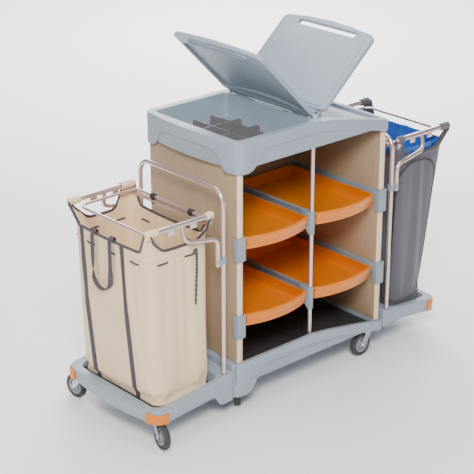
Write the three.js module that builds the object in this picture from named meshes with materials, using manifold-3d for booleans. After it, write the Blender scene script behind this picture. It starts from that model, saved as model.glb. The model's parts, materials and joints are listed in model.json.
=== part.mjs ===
// Housekeeping cart: a cabinet on casters with sliding trays and a lidded top, and a bag module
// hung on each end. Millimetres, +Z up, +X towards the right-hand bag, -Y towards the open front.
import * as THREE from 'three';
import { mergeVertices } from 'three/addons/utils/BufferGeometryUtils.js';
import Module from 'manifold-3d';

const wasm = await Module();
wasm.setup();

// ---- driving dimensions ----
const GAP = 0.3; // clearance between pieces that touch

const PANEL = { outer: 380, thick: 28, halfDepth: 248, top: 950 };
const BASE = {
  halfLength: 402, halfDepth: 258, corner: 34, wall: 10, skirt: 7, ledge: 52,
  rim: 204, drop: 68, band: 42, foot: 68, recess: 113, deckLow: 119, deck: 128,
};
const TOP = {
  halfLength: 392, bow: 20, halfDepth: 262, corner: 36, wall: 7, skirt: 4.5,
  rim: 1058, drop: 82, band: 44, foot: 940, recess: 957, floor: 962, flange: 7,
};
const TOP_OPENING = { halfDepth: 230, corner: 20, left: [-366, -14], right: [64, 366], wall: 4 };
const INSERT = {
  spanX: [-315, -105], spanY: [-150, 150], along: [-60, 40], across: [-245, -161], height: 58,
};
const DECK = { below: 14, thick: 5, grooves: [232, 268], grooveWidth: 7, grooveDepth: 3 };
const LIFTS = [350, 654]; // middle height of the two rows of tray clips
const RAIL = { top: 44, height: 34, web: 6, ledge: 24, ledgeThick: 5, front: -222, back: 225 };
const CLIP = { half: 45, outside: 6.5, inside: 5, front: -256, back: -222, sleeve: 12.5, cheek: 15 };
const POST = { radius: 8, front: -232.5, back: 221, top: 956.5 };
const TRAY = {
  inner: 26.5, outer: 326, back: 213, wall: 3, bottom: -14, rimTop: 34, lip: -236, bulge: 28,
  lipThick: 5, lipDeep: 6, fasciaLow: 4, ear: 13, flangeThick: 4, flangeIn: 10, flangeOut: 13,
};
const LID = {
  half: 236, start: 11, length: { left: 384, right: 362 }, bow: 16, corner: 26, under: -5, upper: 11,
  rim: 14, skin: 5, raise: 3.5, slot: 300, slotWide: 22, slotInset: 20, knuckle: 6, rod: 3,
};
const HINGE = { left: 2, right: 44, z: 1065, lug: 6, lugAt: 217 };
const OPEN = { left: 45, right: 41.5 }; // lid angle above level, degrees
const PLATFORM = {
  near: 404.5, nearHalf: 246, farHalf: 268, corner: 45, wall: 9, deckLow: 118, deck: 126,
  shallow: 99, pocketHalf: 232,
};
const SIDES = {
  left: {
    sign: -1, far: 782, bow: 22, rimNear: 182, rimFar: 142, foot: 62, pocket: [460, 752], lift: 0,
  },
  right: {
    sign: 1, far: 698, bow: 18, rimNear: 168, rimFar: 150, foot: 99, pocket: [460, 678], lift: 54,
  },
};
const ARCH = { x: 436, half: 230, top: 890, radius: 9, bend: 52 };
const FRAME = {
  inner: 478, outer: 772, half: 218, z: 810, radius: 10, crossX: 478, crossDrop: 34, crossRadius: 8,
  armX: 615, armY: 232, armRadius: 8.5, armEnd: 613,
};
const RING = { outer: 744, half: 196, radius: 5.5, barrel: 6.5, z: 793, bend: 40 };
const BAG = { corner: 42, floor: 131, thickness: 4, halfTop: 212, halfBottom: 220, rim: 738 };
const BAG_SPAN = {
  left: { bottom: [482, 740], top: [486, 764] },
  right: { bottom: [482, 664], top: [486, 764] },
};
const WHEEL = { radius: 48, width: 26, hub: 33, bore: 5.4, axle: 5, trail: 34 };
const FORK = { plate: 3, gap: 15.5, top: 117.6, head: 20 };
const CASTERS = {
  front_left: { at: [-312, -168], turn: -132 },
  front_right: { at: [336, -219], turn: 180 },
  back_left: { at: [-312, 168], turn: 135 },
  back_right: { at: [336, 219], turn: 178 },
  platform_front: { at: [-743, -224], turn: -103 },
  platform_back: { at: [-743, 224], turn: 96 },
};

const PAINTS = {
  grey_plastic: [0xa9b4bd, 0.45, 0],
  pale_panel: [0xd0c0a6, 0.6, 0],
  dark_floor: [0x262626, 0.7, 0],
  chrome_tube: [0xd9cccb, 0.28, 0.85],
  clip_grey: [0x8c969e, 0.5, 0],
  orange_plastic: [0xef8f1c, 0.45, 0],
  divider_grey: [0x69666a, 0.6, 0],
  beige_fabric: [0xe6d5ba, 0.9, 0],
  grey_fabric: [0x69676f, 0.9, 0],
  blue_liner: [0x2850a0, 0.6, 0],
  webbing: [0x554e55, 0.9, 0],
  tyre_rubber: [0x3c3a3e, 0.8, 0],
  hub_plastic: [0x8c9196, 0.5, 0],
  steel: [0xb4b8bc, 0.3, 0.9],
};

// ---- small helpers ----
const degrees = Math.PI / 180;

function toSolid(geometry) {
  const bare = geometry.index ? geometry.clone() : geometry;
  bare.deleteAttribute('normal');
  bare.deleteAttribute('uv');
  const merged = mergeVertices(bare, 1e-4);
  return new wasm.Manifold(new wasm.Mesh({
    numProp: 3,
    vertProperties: new Float32Array(merged.attributes.position.array),
    triVerts: new Uint32Array(merged.index.array),
  }));
}

function toGeometry(manifold) {
  const mesh = manifold.getMesh();
  const geometry = new THREE.BufferGeometry();
  geometry.setAttribute('position', new THREE.BufferAttribute(mesh.vertProperties, 3));
  geometry.setIndex(new THREE.BufferAttribute(mesh.triVerts, 1));
  geometry.computeVertexNormals();
  return geometry;
}

function join(first, ...others) {
  return others.reduce((sum, next) => sum.add(next), first);
}

function cut(first, ...others) {
  return others.reduce((rest, next) => rest.subtract(next), first);
}

// a flat outline in XY, raised from low to high
function prism(shape, low, high, curveSegments = 4) {
  const geometry = new THREE.ExtrudeGeometry(shape, {
    depth: high - low, bevelEnabled: false, curveSegments,
  });
  return toSolid(geometry.translate(0, 0, low));
}

// an outline drawn in (x, z), swept from y = front to y = back
function sweptAlongY(shape, front, back, curveSegments = 6) {
  const geometry = new THREE.ExtrudeGeometry(shape, {
    depth: back - front, bevelEnabled: false, curveSegments,
  });
  return toSolid(geometry.rotateX(Math.PI / 2).translate(0, back, 0));
}

// an outline drawn in (y, z), swept from x = low to x = high
function sweptAlongX(shape, low, high, curveSegments = 6) {
  const geometry = new THREE.ExtrudeGeometry(shape, {
    depth: high - low, bevelEnabled: false, curveSegments,
  });
  const turn = new THREE.Matrix4().makeBasis(
    new THREE.Vector3(0, 1, 0), new THREE.Vector3(0, 0, 1), new THREE.Vector3(1, 0, 0),
  );
  return toSolid(geometry.applyMatrix4(turn).translate(low, 0, 0));
}

function block(x0, x1, y0, y1, z0, z1) {
  const geometry = new THREE.BoxGeometry(x1 - x0, y1 - y0, z1 - z0);
  return toSolid(geometry.translate((x0 + x1) / 2, (y0 + y1) / 2, (z0 + z1) / 2));
}

// a round bar along one axis: 'x', 'y' or 'z', from low to high, through (a, b) across it
function bar(axis, low, high, a, b, radius, sides = 12) {
  const geometry = new THREE.CylinderGeometry(radius, radius, high - low, sides);
  const middle = (low + high) / 2;
  if (axis === 'x') geometry.rotateZ(Math.PI / 2).translate(middle, a, b);
  if (axis === 'y') geometry.translate(a, middle, b);
  if (axis === 'z') geometry.rotateX(Math.PI / 2).translate(a, b, middle);
  return toSolid(geometry);
}

function polygon(points) {
  return new THREE.Shape(points.map(([x, y]) => new THREE.Vector2(x, y)));
}

// a rectangle with rounded corners
function roundedBox(x0, x1, y0, y1, r) {
  const shape = new THREE.Shape();
  shape.moveTo(x0 + r, y0);
  shape.lineTo(x1 - r, y0);
  shape.absarc(x1 - r, y0 + r, r, -Math.PI / 2, 0);
  shape.lineTo(x1, y1 - r);
  shape.absarc(x1 - r, y1 - r, r, 0, Math.PI / 2);
  shape.lineTo(x0 + r, y1);
  shape.absarc(x0 + r, y1 - r, r, Math.PI / 2, Math.PI);
  shape.lineTo(x0, y0 + r);
  shape.absarc(x0 + r, y0 + r, r, Math.PI, 1.5 * Math.PI);
  return shape;
}

// a rounded rectangle whose two ends bulge outwards by bow
function bowedBox(x0, x1, y0, y1, r, bowLow, bowHigh) {
  const shape = new THREE.Shape();
  const middle = (y0 + y1) / 2;
  shape.moveTo(x0 + r, y0);
  shape.lineTo(x1 - r, y0);
  shape.absarc(x1 - r, y0 + r, r, -Math.PI / 2, -0.12);
  const [along, across] = [r * Math.cos(0.12), r * Math.sin(0.12)];
  shape.quadraticCurveTo(x1 + 2 * bowHigh, middle, x1 - r + along, y1 - r + across);
  shape.absarc(x1 - r, y1 - r, r, 0.12, Math.PI / 2);
  shape.lineTo(x0 + r, y1);
  shape.absarc(x0 + r, y1 - r, r, Math.PI / 2, Math.PI - 0.12);
  shape.quadraticCurveTo(x0 - 2 * bowLow, middle, x0 + r - along, y0 + r - across);
  shape.absarc(x0 + r, y0 + r, r, Math.PI + 0.12, 1.5 * Math.PI);
  return shape;
}

// straight runs with round bends between them, as a curve whose spaced points are the corners
class BentRoute extends THREE.Curve {
  constructor(corners, bend, stepsPerBend = 4) {
    super();
    const points = corners.map((p) => new THREE.Vector3(...p));
    this.knots = [points[0]];
    this.tangents = [points[1].clone().sub(points[0]).normalize()];
    for (let i = 1; i < points.length - 1; i += 1) this.addBend(points, i, bend, stepsPerBend);
    this.knots.push(points.at(-1));
    this.tangents.push(points.at(-1).clone().sub(points.at(-2)).normalize());
  }

  addBend(points, i, bend, steps) {
    const arriving = points[i].clone().sub(points[i - 1]).normalize();
    const leaving = points[i + 1].clone().sub(points[i]).normalize();
    const angle = arriving.angleTo(leaving);
    const reach = bend * Math.tan(angle / 2);
    const start = points[i].clone().addScaledVector(arriving, -reach);
    const inward = leaving.clone().addScaledVector(arriving, -Math.cos(angle)).normalize();
    for (let k = 0; k <= steps; k += 1) {
      const t = (angle * k) / steps;
      this.knots.push(start.clone().addScaledVector(arriving, bend * Math.sin(t))
        .addScaledVector(inward, bend * (1 - Math.cos(t))));
      this.tangents.push(
        arriving.clone().multiplyScalar(Math.cos(t)).addScaledVector(inward, Math.sin(t)),
      );
    }
  }

  get steps() { return this.knots.length - 1; }

  getPointAt(u) { return this.knots[Math.round(u * this.steps)].clone(); }

  getTangentAt(u) { return this.tangents[Math.round(u * this.steps)].clone(); }
}

function circle(radius, sides) {
  const corners = [];
  for (let k = 0; k < sides; k += 1) {
    const angle = (2 * Math.PI * k) / sides;
    corners.push([radius * Math.cos(angle), radius * Math.sin(angle)]);
  }
  return polygon(corners);
}

function tube(corners, bend, radius, sides = 10, stepsPerBend = 4) {
  const route = new BentRoute(corners, bend, stepsPerBend);
  return toSolid(new THREE.ExtrudeGeometry(circle(radius, sides), {
    steps: route.steps, extrudePath: route, bevelEnabled: false,
  }));
}

function turned(profile, segments) {
  const points = profile.map(([r, z]) => new THREE.Vector2(r, z));
  return toSolid(new THREE.LatheGeometry(points, segments));
}

const cart = new THREE.Group();

function addPiece(name, manifold, paint, parent = cart) {
  const [color, roughness, metalness] = PAINTS[paint];
  const material = new THREE.MeshStandardMaterial({ color, roughness, metalness });
  const mesh = new THREE.Mesh(toGeometry(manifold), material);
  mesh.name = name;
  parent.add(mesh);
  return mesh;
}

// ---- the sweep that the base and the top share: level on the left, falling to the right ----
function sweep(x, tray) {
  return tray.rim - tray.drop * Math.max(0, x / TOP.halfLength) ** 1.2;
}

function sweepPoints(tray, offset, from, to) {
  const points = [];
  const steps = 5;
  for (let k = 0; k <= steps; k += 1) {
    const x = from + ((to - from) * k) / steps;
    points.push([x, sweep(x, tray) + offset]);
  }
  return points;
}

// everything above the swept rim
function aboveRim(tray) {
  const rim = sweepPoints(tray, 0, 0, 450);
  const high = tray.rim + 60;
  return sweptAlongY(polygon([[-450, tray.rim], ...rim, [450, high], [-450, high]]), -300, 300);
}

// everything below the lower edge of the outer wall: a deep foot on the left, an S up to the band
function belowSkirt(tray) {
  const shape = new THREE.Shape();
  const bandLeft = tray.rim - tray.band;
  shape.moveTo(-450, tray.foot - 60);
  shape.lineTo(-450, tray.foot);
  shape.lineTo(-338, tray.foot);
  shape.bezierCurveTo(-296, tray.foot, -292, bandLeft, -240, bandLeft);
  sweepPoints(tray, -tray.band, 0, 450).forEach(([x, z]) => shape.lineTo(x, z));
  shape.lineTo(450, tray.foot - 60);
  return sweptAlongY(shape, -300, 300, 5);
}

// the arch between the feet of an end wall, cut through it along X
function endArch(tray, low, high) {
  const shape = new THREE.Shape();
  const band = tray.rim - tray.band;
  shape.moveTo(-205, tray.foot - 60);
  shape.lineTo(-205, tray.foot);
  shape.bezierCurveTo(-172, tray.foot, -168, band, -124, band);
  shape.lineTo(124, band);
  shape.bezierCurveTo(168, band, 172, tray.foot, 205, tray.foot);
  shape.lineTo(205, tray.foot - 60);
  return sweptAlongX(shape, low, high, 5);
}

// ---- cabinet ----
function baseTray() {
  const { halfLength: x, halfDepth: y, corner: r, wall, skirt, ledge } = BASE;
  const inset = (d) => roundedBox(-x + d, x - d, -y + d, y - d, Math.max(r - d, 4));
  const outer = prism(inset(0), 40, BASE.rim + 4);
  const band = cut(
    outer, prism(inset(wall), 30, BASE.rim + 10), belowSkirt(BASE),
    endArch(BASE, -x - 5, -x + wall + 5),
  );
  const recessed = cut(
    prism(inset(wall - 1), BASE.recess, BASE.rim), prism(inset(wall + skirt), 30, BASE.rim + 10),
  );
  const deck = prism(inset(wall - 1), BASE.deckLow, BASE.deck);
  const ends = [-1, 1].map((side) => {
    const [low, high] = [side * (x - ledge), side * (x - wall + 1)].sort((a, b) => a - b);
    return block(low, high, -y + wall - 1, y - wall + 1, BASE.deckLow, BASE.rim);
  });
  const hollow = block(
    -x + wall + skirt, -x + ledge - 6, -y + wall + skirt, y - wall - skirt, BASE.deckLow - 2, BASE.rim - 9,
  );
  return cut(join(band, recessed, deck, ...ends), aboveRim(BASE), hollow);
}

function floorLiner() {
  const edge = BASE.halfLength - BASE.ledge - GAP;
  const depth = BASE.halfDepth - BASE.wall - BASE.skirt - GAP;
  const sheet = block(-edge, edge, -depth, depth, BASE.deck + GAP, BASE.deck + 3.6);
  const ridge = block(-9, 9, -depth + 24, depth - 24, BASE.deck + 1, BASE.deck + 8);
  const postHoles = [POST.front, POST.back].map((y) => bar('z', 100, 160, 0, y, POST.radius + GAP));
  return cut(join(sheet, ridge), ...postHoles);
}

function sidePanel(side) {
  const { outer, thick, halfDepth, top } = PANEL;
  const [x0, x1] = [side * outer, side * (outer - thick)].sort((a, b) => a - b);
  const bottom = sweep(side * outer, BASE) + GAP + (side > 0 ? 6 : 0);
  return prism(roundedBox(x0, x1, -halfDepth, halfDepth, 11), bottom, top, 4);
}

function backPanel() {
  const edge = BASE.halfLength - BASE.ledge - GAP;
  return block(-edge, edge, 232, 238, BASE.deck + 4, PANEL.top);
}

function post(y) {
  return bar('z', BASE.deck + GAP, POST.top, 0, y, POST.radius);
}

// a rail with a ledge for the tray's flange, ending in a clip at the front
function sideRail(side, lift) {
  const face = PANEL.outer - PANEL.thick - GAP;
  const top = lift + RAIL.top;
  const low = top - RAIL.height;
  const span = (a, b) => [side * a, side * b].sort((p, q) => p - q);
  const [w0, w1] = span(face, face - RAIL.web * 2);
  const [l0, l1] = span(face, face - RAIL.ledge);
  const web = block(w0, w1, RAIL.front - 4, RAIL.back, low, top);
  const ledge = block(l0, l1, RAIL.front, RAIL.back, low, low + RAIL.ledgeThick);
  const [c0, c1] = span(PANEL.outer + CLIP.outside, face - CLIP.inside);
  const wrap = prism(roundedBox(c0, c1, CLIP.front, CLIP.back, 6), lift - CLIP.half, lift + CLIP.half, 2);
  const [p0, p1] = span(PANEL.outer + GAP, face);
  const panelSlot = prism(roundedBox(p0, p1, -PANEL.halfDepth - GAP, CLIP.back + 30, 10.7), 0, 1000, 4);
  return join(cut(wrap, panelSlot), web, ledge);
}

function centreRail(lift) {
  const top = lift + RAIL.top;
  const low = top - RAIL.height;
  const end = POST.back - POST.radius - 1;
  const web = block(-RAIL.web, RAIL.web, RAIL.front, end, low, top);
  const ledge = block(-RAIL.ledge, RAIL.ledge, RAIL.front + 14, end, low, low + RAIL.ledgeThick);
  const sleeve = bar('z', lift - CLIP.half, lift + CLIP.half, 0, POST.front, CLIP.sleeve, 16);
  const [near, far] = [POST.front + 3, RAIL.front + 36];
  const cheek = sweptAlongX(polygon([
    [near, lift - CLIP.half + 8], [far - 14, lift - 12], [far, lift + 12], [far - 4, top], [near, top],
  ]), -CLIP.cheek, CLIP.cheek);
  const bore = bar('z', 0, 1100, 0, POST.front, POST.radius + GAP, 12);
  return cut(join(sleeve, cheek, web, ledge), bore);
}

function trayOutline(x0, x1, front, back, bulge) {
  const shape = new THREE.Shape();
  const middle = (x0 + x1) / 2;
  shape.moveTo(x0, front);
  shape.quadraticCurveTo(middle, front - 2 * bulge, x1, front);
  shape.lineTo(x1, back);
  shape.lineTo(x0, back);
  return shape;
}

// an open tray with a bulging front lip; side is -1 for the left bay
function tray(side, lift) {
  const [x0, x1] = [side * TRAY.inner, side * TRAY.outer].sort((a, b) => a - b);
  const { wall, lipThick, bulge, lip, back } = TRAY;
  const low = lift + TRAY.bottom;
  const high = lift + TRAY.rimTop;
  const flangeLow = lift + RAIL.top - RAIL.height + RAIL.ledgeThick + GAP;
  const body = prism(trayOutline(x0, x1, lip + lipThick - 1, back, bulge), low, high, 8);
  const [e0, e1] = [side * (TRAY.inner - 9), side * (TRAY.outer + TRAY.ear)].sort((a, b) => a - b);
  const front = join(
    prism(trayOutline(x0 - 2, x1 + 2, lip, back, bulge), lift + TRAY.fasciaLow, high - 1, 8),
    prism(trayOutline(e0, e1, lip, back, bulge), high - TRAY.lipDeep, high, 8),
  );
  const behind = trayOutline(e0 - 3, e1 + 3, lip + lipThick, back + 5, bulge);
  const fascia = cut(front, prism(behind, lift - 10, high + 5, 8));
  const [f0, f1] = [side * (TRAY.inner - TRAY.flangeIn), side * (TRAY.outer + TRAY.flangeOut)]
    .sort((a, b) => a - b);
  const flange = block(f0, f1, RAIL.front + 16, back, flangeLow, flangeLow + TRAY.flangeThick);
  const pocket = prism(
    trayOutline(x0 + wall, x1 - wall, lip + lipThick + wall, back - wall, bulge), low + wall, high + 20, 8,
  );
  return cut(join(body, fascia, flange), pocket);
}

// ---- top ----
function topTray() {
  const { halfLength: x, bow, halfDepth: y, corner: r, wall, skirt } = TOP;
  const inset = (d) => bowedBox(-x + d, x - d, -y + d, y - d, r - d, bow, bow);
  const band = cut(
    prism(inset(0), 900, TOP.rim + 4), prism(inset(wall), 890, TOP.rim + 10),
    belowSkirt(TOP), endArch(TOP, -x - bow - 10, -x + wall + 10),
  );
  const recessed = cut(
    prism(inset(wall - 1), TOP.recess, TOP.rim), prism(inset(wall + skirt), 890, TOP.rim + 10),
  );
  const low = sweepPoints(TOP, -TOP.flange, 0, 450);
  const high = sweepPoints(TOP, 6, 0, 450).reverse();
  const slab = sweptAlongY(
    polygon([[-450, TOP.rim - TOP.flange], ...low, ...high, [-450, TOP.rim + 6]]), -300, 300,
  );
  const opening = (side, grow) => {
    const [a, b] = TOP_OPENING[side];
    const half = TOP_OPENING.halfDepth + grow;
    return roundedBox(a - grow, b + grow, -half, half, TOP_OPENING.corner + grow);
  };
  const flange = prism(inset(wall - 1), 940, TOP.rim + 4).intersect(slab);
  const leftTub = prism(opening('left', TOP_OPENING.wall), TOP.recess, TOP.rim);
  const rightTub = prism(opening('right', TOP_OPENING.wall), TOP.recess - 14, TOP.rim)
    .intersect(deckBand(-DECK.below - DECK.thick, 10));
  const rightPocket = prism(opening('right', 0), 880, TOP.rim + 20).intersect(deckBand(-DECK.below, 60));
  const leftPocket = prism(opening('left', 0), TOP.floor, TOP.rim + 20);
  const grooves = DECK.grooves.map((at) => prism(
    roundedBox(at - DECK.grooveWidth / 2, at + DECK.grooveWidth / 2, -215, 215, 3), 880, TOP.rim + 20,
  ).intersect(deckBand(-DECK.below - DECK.grooveDepth, 20)));
  const lugs = ['left', 'right'].flatMap((side) => [-1, 1].map((end) => {
    const [at, y] = [HINGE[side], end * HINGE.lugAt];
    return block(at - HINGE.lug, at + HINGE.lug, y - 5, y + 5, 1046, HINGE.z + 6);
  }));
  const rodBores = ['left', 'right'].map(
    (side) => bar('y', -240, 240, HINGE[side], HINGE.z, LID.rod + GAP, 10),
  );
  const shell = cut(join(band, recessed, flange, leftTub, rightTub), leftPocket, rightPocket, ...grooves);
  return cut(join(cut(shell, aboveRim(TOP)), ...lugs), ...rodBores);
}

// the space between two copies of the rim's sweep
function deckBand(lowOffset, highOffset) {
  const low = sweepPoints(TOP, lowOffset, 0, 450);
  const high = sweepPoints(TOP, highOffset, 0, 450).reverse();
  return sweptAlongY(polygon([...low, ...high]), -280, 280);
}

// two long walls crossed by two short ones, standing on the compartment's floor
function dividerInsert() {
  const z0 = TOP.floor + GAP;
  const z1 = z0 + INSERT.height;
  const along = INSERT.along.map((y) => block(...INSERT.spanX, y - 2, y + 2, z0, z1));
  const across = INSERT.across.map((x) => block(x - 2, x + 2, ...INSERT.spanY, z0, z1));
  return join(...along, ...across);
}

// a lid lying along +X from its hinge line, underside down
function lid(length) {
  const { half, start, bow, corner, under, upper, rim, skin, raise } = LID;
  const slotAt = length - LID.slotInset;
  const panel = (near, far, edge, r, low, high) => prism(
    bowedBox(start + near, slotAt - far, -half + edge, half - edge, r, 0, bow), low, high, 3,
  );
  const plate = prism(bowedBox(start, length, -half, half, corner, 0, bow), under, upper, 4);
  const inner = panel(rim, 34, rim, corner - 10, under - 1, upper - skin);
  const raised = panel(12, 36, 24, corner - 8, upper - 1, upper + raise);
  const [wide, tall] = [LID.slotWide / 2, LID.slot / 2];
  const slot = prism(roundedBox(slotAt - wide, slotAt + wide, -tall, tall, 10), -30, 30, 3);
  const knuckles = [-160, 160].flatMap((y) => [
    bar('y', y - 38, y + 38, 0, 0, LID.knuckle, 12),
    block(0, start + 4, y - 38, y + 38, -4, 4),
  ]);
  const bore = bar('y', -300, 300, 0, 0, LID.rod + GAP, 10);
  return cut(join(cut(plate, inner), raised, ...knuckles), slot, bore);
}

function addLids() {
  ['left', 'right'].forEach((side) => {
    const holder = new THREE.Group();
    const facesLeft = side === 'left';
    holder.position.set(HINGE[side], 0, HINGE.z);
    holder.rotation.set(0, (facesLeft ? 1 : -1) * OPEN[side] * degrees, 0);
    cart.add(holder);
    const leaf = lid(LID.length[side]);
    addPiece(`lid_${side}`, facesLeft ? leaf.mirror([1, 0, 0]) : leaf, 'grey_plastic', holder);
    const rod = bar('y', -225, 225, HINGE[side], HINGE.z, LID.rod, 10);
    addPiece(`lid_hinge_rod_${side}`, rod, 'steel');
  });
}

// ---- bag modules, drawn for the right and mirrored for the left ----
function platformOutline(side, d) {
  const { near, nearHalf, farHalf, corner } = PLATFORM;
  const { far, bow } = side;
  const r = corner - d;
  const x1 = far - d;
  const y1 = farHalf - d;
  const y0 = nearHalf - d;
  const shape = new THREE.Shape();
  shape.moveTo(near + d, -y0);
  shape.lineTo(x1 - r, -y1);
  shape.absarc(x1 - r, -y1 + r, r, -Math.PI / 2, -0.12);
  const across = r * Math.sin(0.12);
  shape.quadraticCurveTo(x1 + 2 * bow, 0, x1 - r + r * Math.cos(0.12), y1 - r + across);
  shape.absarc(x1 - r, y1 - r, r, 0.12, Math.PI / 2);
  shape.lineTo(near + d, y0);
  return shape;
}

function platform(side) {
  const { near, wall, deckLow, deck, shallow, pocketHalf } = PLATFORM;
  const { far, rimNear, rimFar, foot, pocket } = side;
  const high = [[far + 60, 300], [near - 20, 300]];
  const top = polygon([[near - 20, rimNear + 1], [far + 60, rimFar - 5], ...high]);
  const under = new THREE.Shape();
  under.moveTo(near - 20, 0);
  under.lineTo(near - 20, foot);
  under.lineTo(near + 46, foot);
  under.bezierCurveTo(near + 78, foot, near + 72, 108, near + 106, 108);
  under.lineTo(far - 40, shallow);
  under.lineTo(far + 60, shallow);
  under.lineTo(far + 60, 0);
  const between = polygon([[-190, 0], [-190, 80], [-160, 108], [160, 108], [190, 80], [190, 0]]);
  const whole = cut(
    prism(platformOutline(side, 0), 30, 240), prism(platformOutline(side, wall), 20, deckLow),
    sweptAlongY(top, -320, 320), sweptAlongY(under, -320, 320, 5),
    sweptAlongX(between, near - 5, near + 40),
  );
  const bagPocket = prism(roundedBox(...pocket, -pocketHalf, pocketHalf, 36), deck, 260);
  const sockets = [-1, 1].map((end) => legBore(end, deck, 260));
  return cut(whole, bagPocket, ...sockets);
}

function platformLiner(side) {
  const { pocket } = side;
  const half = PLATFORM.pocketHalf - GAP;
  const shape = roundedBox(pocket[0] + GAP, pocket[1] - GAP, -half, half, 36);
  return prism(shape, PLATFORM.deck + GAP, PLATFORM.deck + 4);
}

// a soft corner wrapped round the outside of the platform
function bumper(side, end) {
  const grown = prism(platformOutline(side, -7), 100, side.rimFar - 4);
  const hole = prism(platformOutline(side, -GAP), 90, 200);
  const centre = [side.far - PLATFORM.corner, end * (PLATFORM.farHalf - PLATFORM.corner)];
  const [y0, y1] = [centre[1] - end * 12, centre[1] + end * 80].sort((a, b) => a - b);
  return cut(grown, hole).intersect(block(centre[0] - 8, centre[0] + 80, y0, y1, 90, 200));
}

// the clearance hole round one leg of the arch; end is -1 at the front
function legBore(end, low, high) {
  const around = (ARCH.radius + GAP) / Math.cos(Math.PI / 10);
  return bar('z', low, high, ARCH.x, end * ARCH.half, around, 10);
}

function arch() {
  const { x, half, top, radius, bend } = ARCH;
  const low = PLATFORM.deck + GAP;
  return tube([[x, -half, low], [x, -half, top], [x, half, top], [x, half, low]], bend, radius);
}

// one of the two bars, with its S-shaped arm and the two tabs under it; end is -1 at the front
function carrier(end, lift) {
  const { inner, outer, half, z, radius, armX, armY, armRadius, armEnd } = FRAME;
  const y = end * half;
  const armLine = end * armY;
  const clampX = ARCH.x + 26;
  const beam = bar('x', inner, outer, y, z + lift, radius, 10);
  const arm = tube([
    [armX, y, z + lift], [armX - 4, armLine, z + lift - 64], [clampX + 2, armLine, z + lift - 92],
    [clampX, armLine, armEnd + lift],
  ], 30, armRadius, 8, 3);
  const level = z + lift;
  const tabs = [armX - 52, armX + 48].map(
    (x) => block(x - 14, x + 14, y - 3, y + 3, level - 27, level),
  );
  const foot = armEnd + lift;
  const clamp = cut(
    block(ARCH.x - 13, clampX + 4, armLine - 11, armLine + 11, foot + 6, foot + 28),
    legBore(end, 0, 1200),
  );
  return join(beam, arm, clamp, ...tabs);
}

function bagFrame(lift) {
  const { crossX, half, z, crossDrop, crossRadius } = FRAME;
  const level = z + lift;
  const low = level - crossDrop;
  const x = crossX + 8;
  const cross = tube(
    [[x, -half, level], [x, -half + 2, low], [x, half - 2, low], [x, half, level]],
    12, crossRadius, 8, 2,
  );
  const clips = [-118, 92].map(
    (y) => block(x - 10, x + 10, y - 11, y + 11, low - 2, RING.z + lift + 10),
  );
  const around = (RING.barrel + GAP) / Math.cos(Math.PI / 10);
  const barrelBore = bar('y', -400, 400, x, RING.z + lift, around, 10);
  return cut(join(carrier(-1, lift), carrier(1, lift), cross, ...clips), barrelBore);
}

function bagRing(lift) {
  const { outer, half, radius, barrel, z, bend } = RING;
  const x = FRAME.crossX + 8;
  const bail = tube([
    [x, -half, z + lift], [outer, -half, z + lift], [outer, half, z + lift], [x, half, z + lift],
  ], bend, radius, 8, 3);
  return join(bail, bar('y', -half - 4, half + 4, x, z + lift, barrel, 10));
}

// an open-topped soft shell: rounded rectangles lofted from the floor to the rim
function bagShell(span, lift, inset, floor, rim) {
  const { lerp } = THREE.MathUtils;
  const outline = (z, d) => {
    const t = (z - BAG.floor) / (BAG.rim + lift - BAG.floor);
    const near = lerp(span.bottom[0], span.top[0], t) + d;
    const far = lerp(span.bottom[1], span.top[1], t) - d;
    const half = lerp(BAG.halfBottom, BAG.halfTop, t) - d;
    return roundedRing(near, far, half, BAG.corner - d).map(([x, y]) => [x, y, z]);
  };
  const { thickness } = BAG;
  return cut(
    loft(outline(floor, inset), outline(rim, inset)),
    loft(outline(floor + thickness, inset + thickness), outline(rim + 20, inset + thickness)),
  );
}

// the corner points of a rounded rectangle that is symmetrical about y = 0
function roundedRing(x0, x1, half, r, steps = 4) {
  const centres = [[x1 - r, r - half], [x1 - r, half - r], [x0 + r, half - r], [x0 + r, r - half]];
  return centres.flatMap(([x, y], corner) => {
    const points = [];
    for (let k = 0; k <= steps; k += 1) {
      const angle = (Math.PI / 2) * (corner - 1 + k / steps);
      points.push([x + r * Math.cos(angle), y + r * Math.sin(angle)]);
    }
    return points;
  });
}

// a closed body between two convex rings of points
function loft(lowRing, highRing) {
  const count = lowRing.length;
  const index = [];
  for (let i = 0; i < count; i += 1) {
    const next = (i + 1) % count;
    index.push(i, next, next + count, i, next + count, i + count);
  }
  for (let i = 1; i < count - 1; i += 1) index.push(0, i + 1, i, count, count + i, count + i + 1);
  const geometry = new THREE.BufferGeometry();
  const positions = [...lowRing, ...highRing].flat();
  geometry.setAttribute('position', new THREE.Float32BufferAttribute(positions, 3));
  geometry.setIndex(index);
  return toSolid(geometry);
}

// ---- the free cord and the webbing loop on the left bag ----
const DRAWSTRING = {
  radius: 5,
  points: [[-560, -230, 704], [-563, -236, 670], [-567, -238, 600], [-572, -238, 505]],
};
const HANDLE_LOOP = { radius: 9.5, y: [-22, 78], top: 720, bottom: 534, x: -779 };

function smoothTube(points, radius, sides, steps) {
  const route = new THREE.CatmullRomCurve3(points.map((p) => new THREE.Vector3(...p)));
  return toSolid(new THREE.ExtrudeGeometry(circle(radius, sides), {
    steps, extrudePath: route, bevelEnabled: false,
  }));
}

function handleLoop() {
  const { radius, y, top, bottom, x } = HANDLE_LOOP;
  const middle = (y[0] + y[1]) / 2;
  const half = (y[1] - y[0]) / 2;
  const points = [];
  const turns = 6;
  points.push([x, y[0], top]);
  for (let k = 0; k <= turns; k += 1) {
    const angle = Math.PI + (Math.PI * k) / turns;
    points.push([x, middle + half * Math.cos(angle), bottom + half + half * Math.sin(angle)]);
  }
  points.push([x, y[1], top]);
  return smoothTube(points, radius, 8, 22);
}

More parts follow.
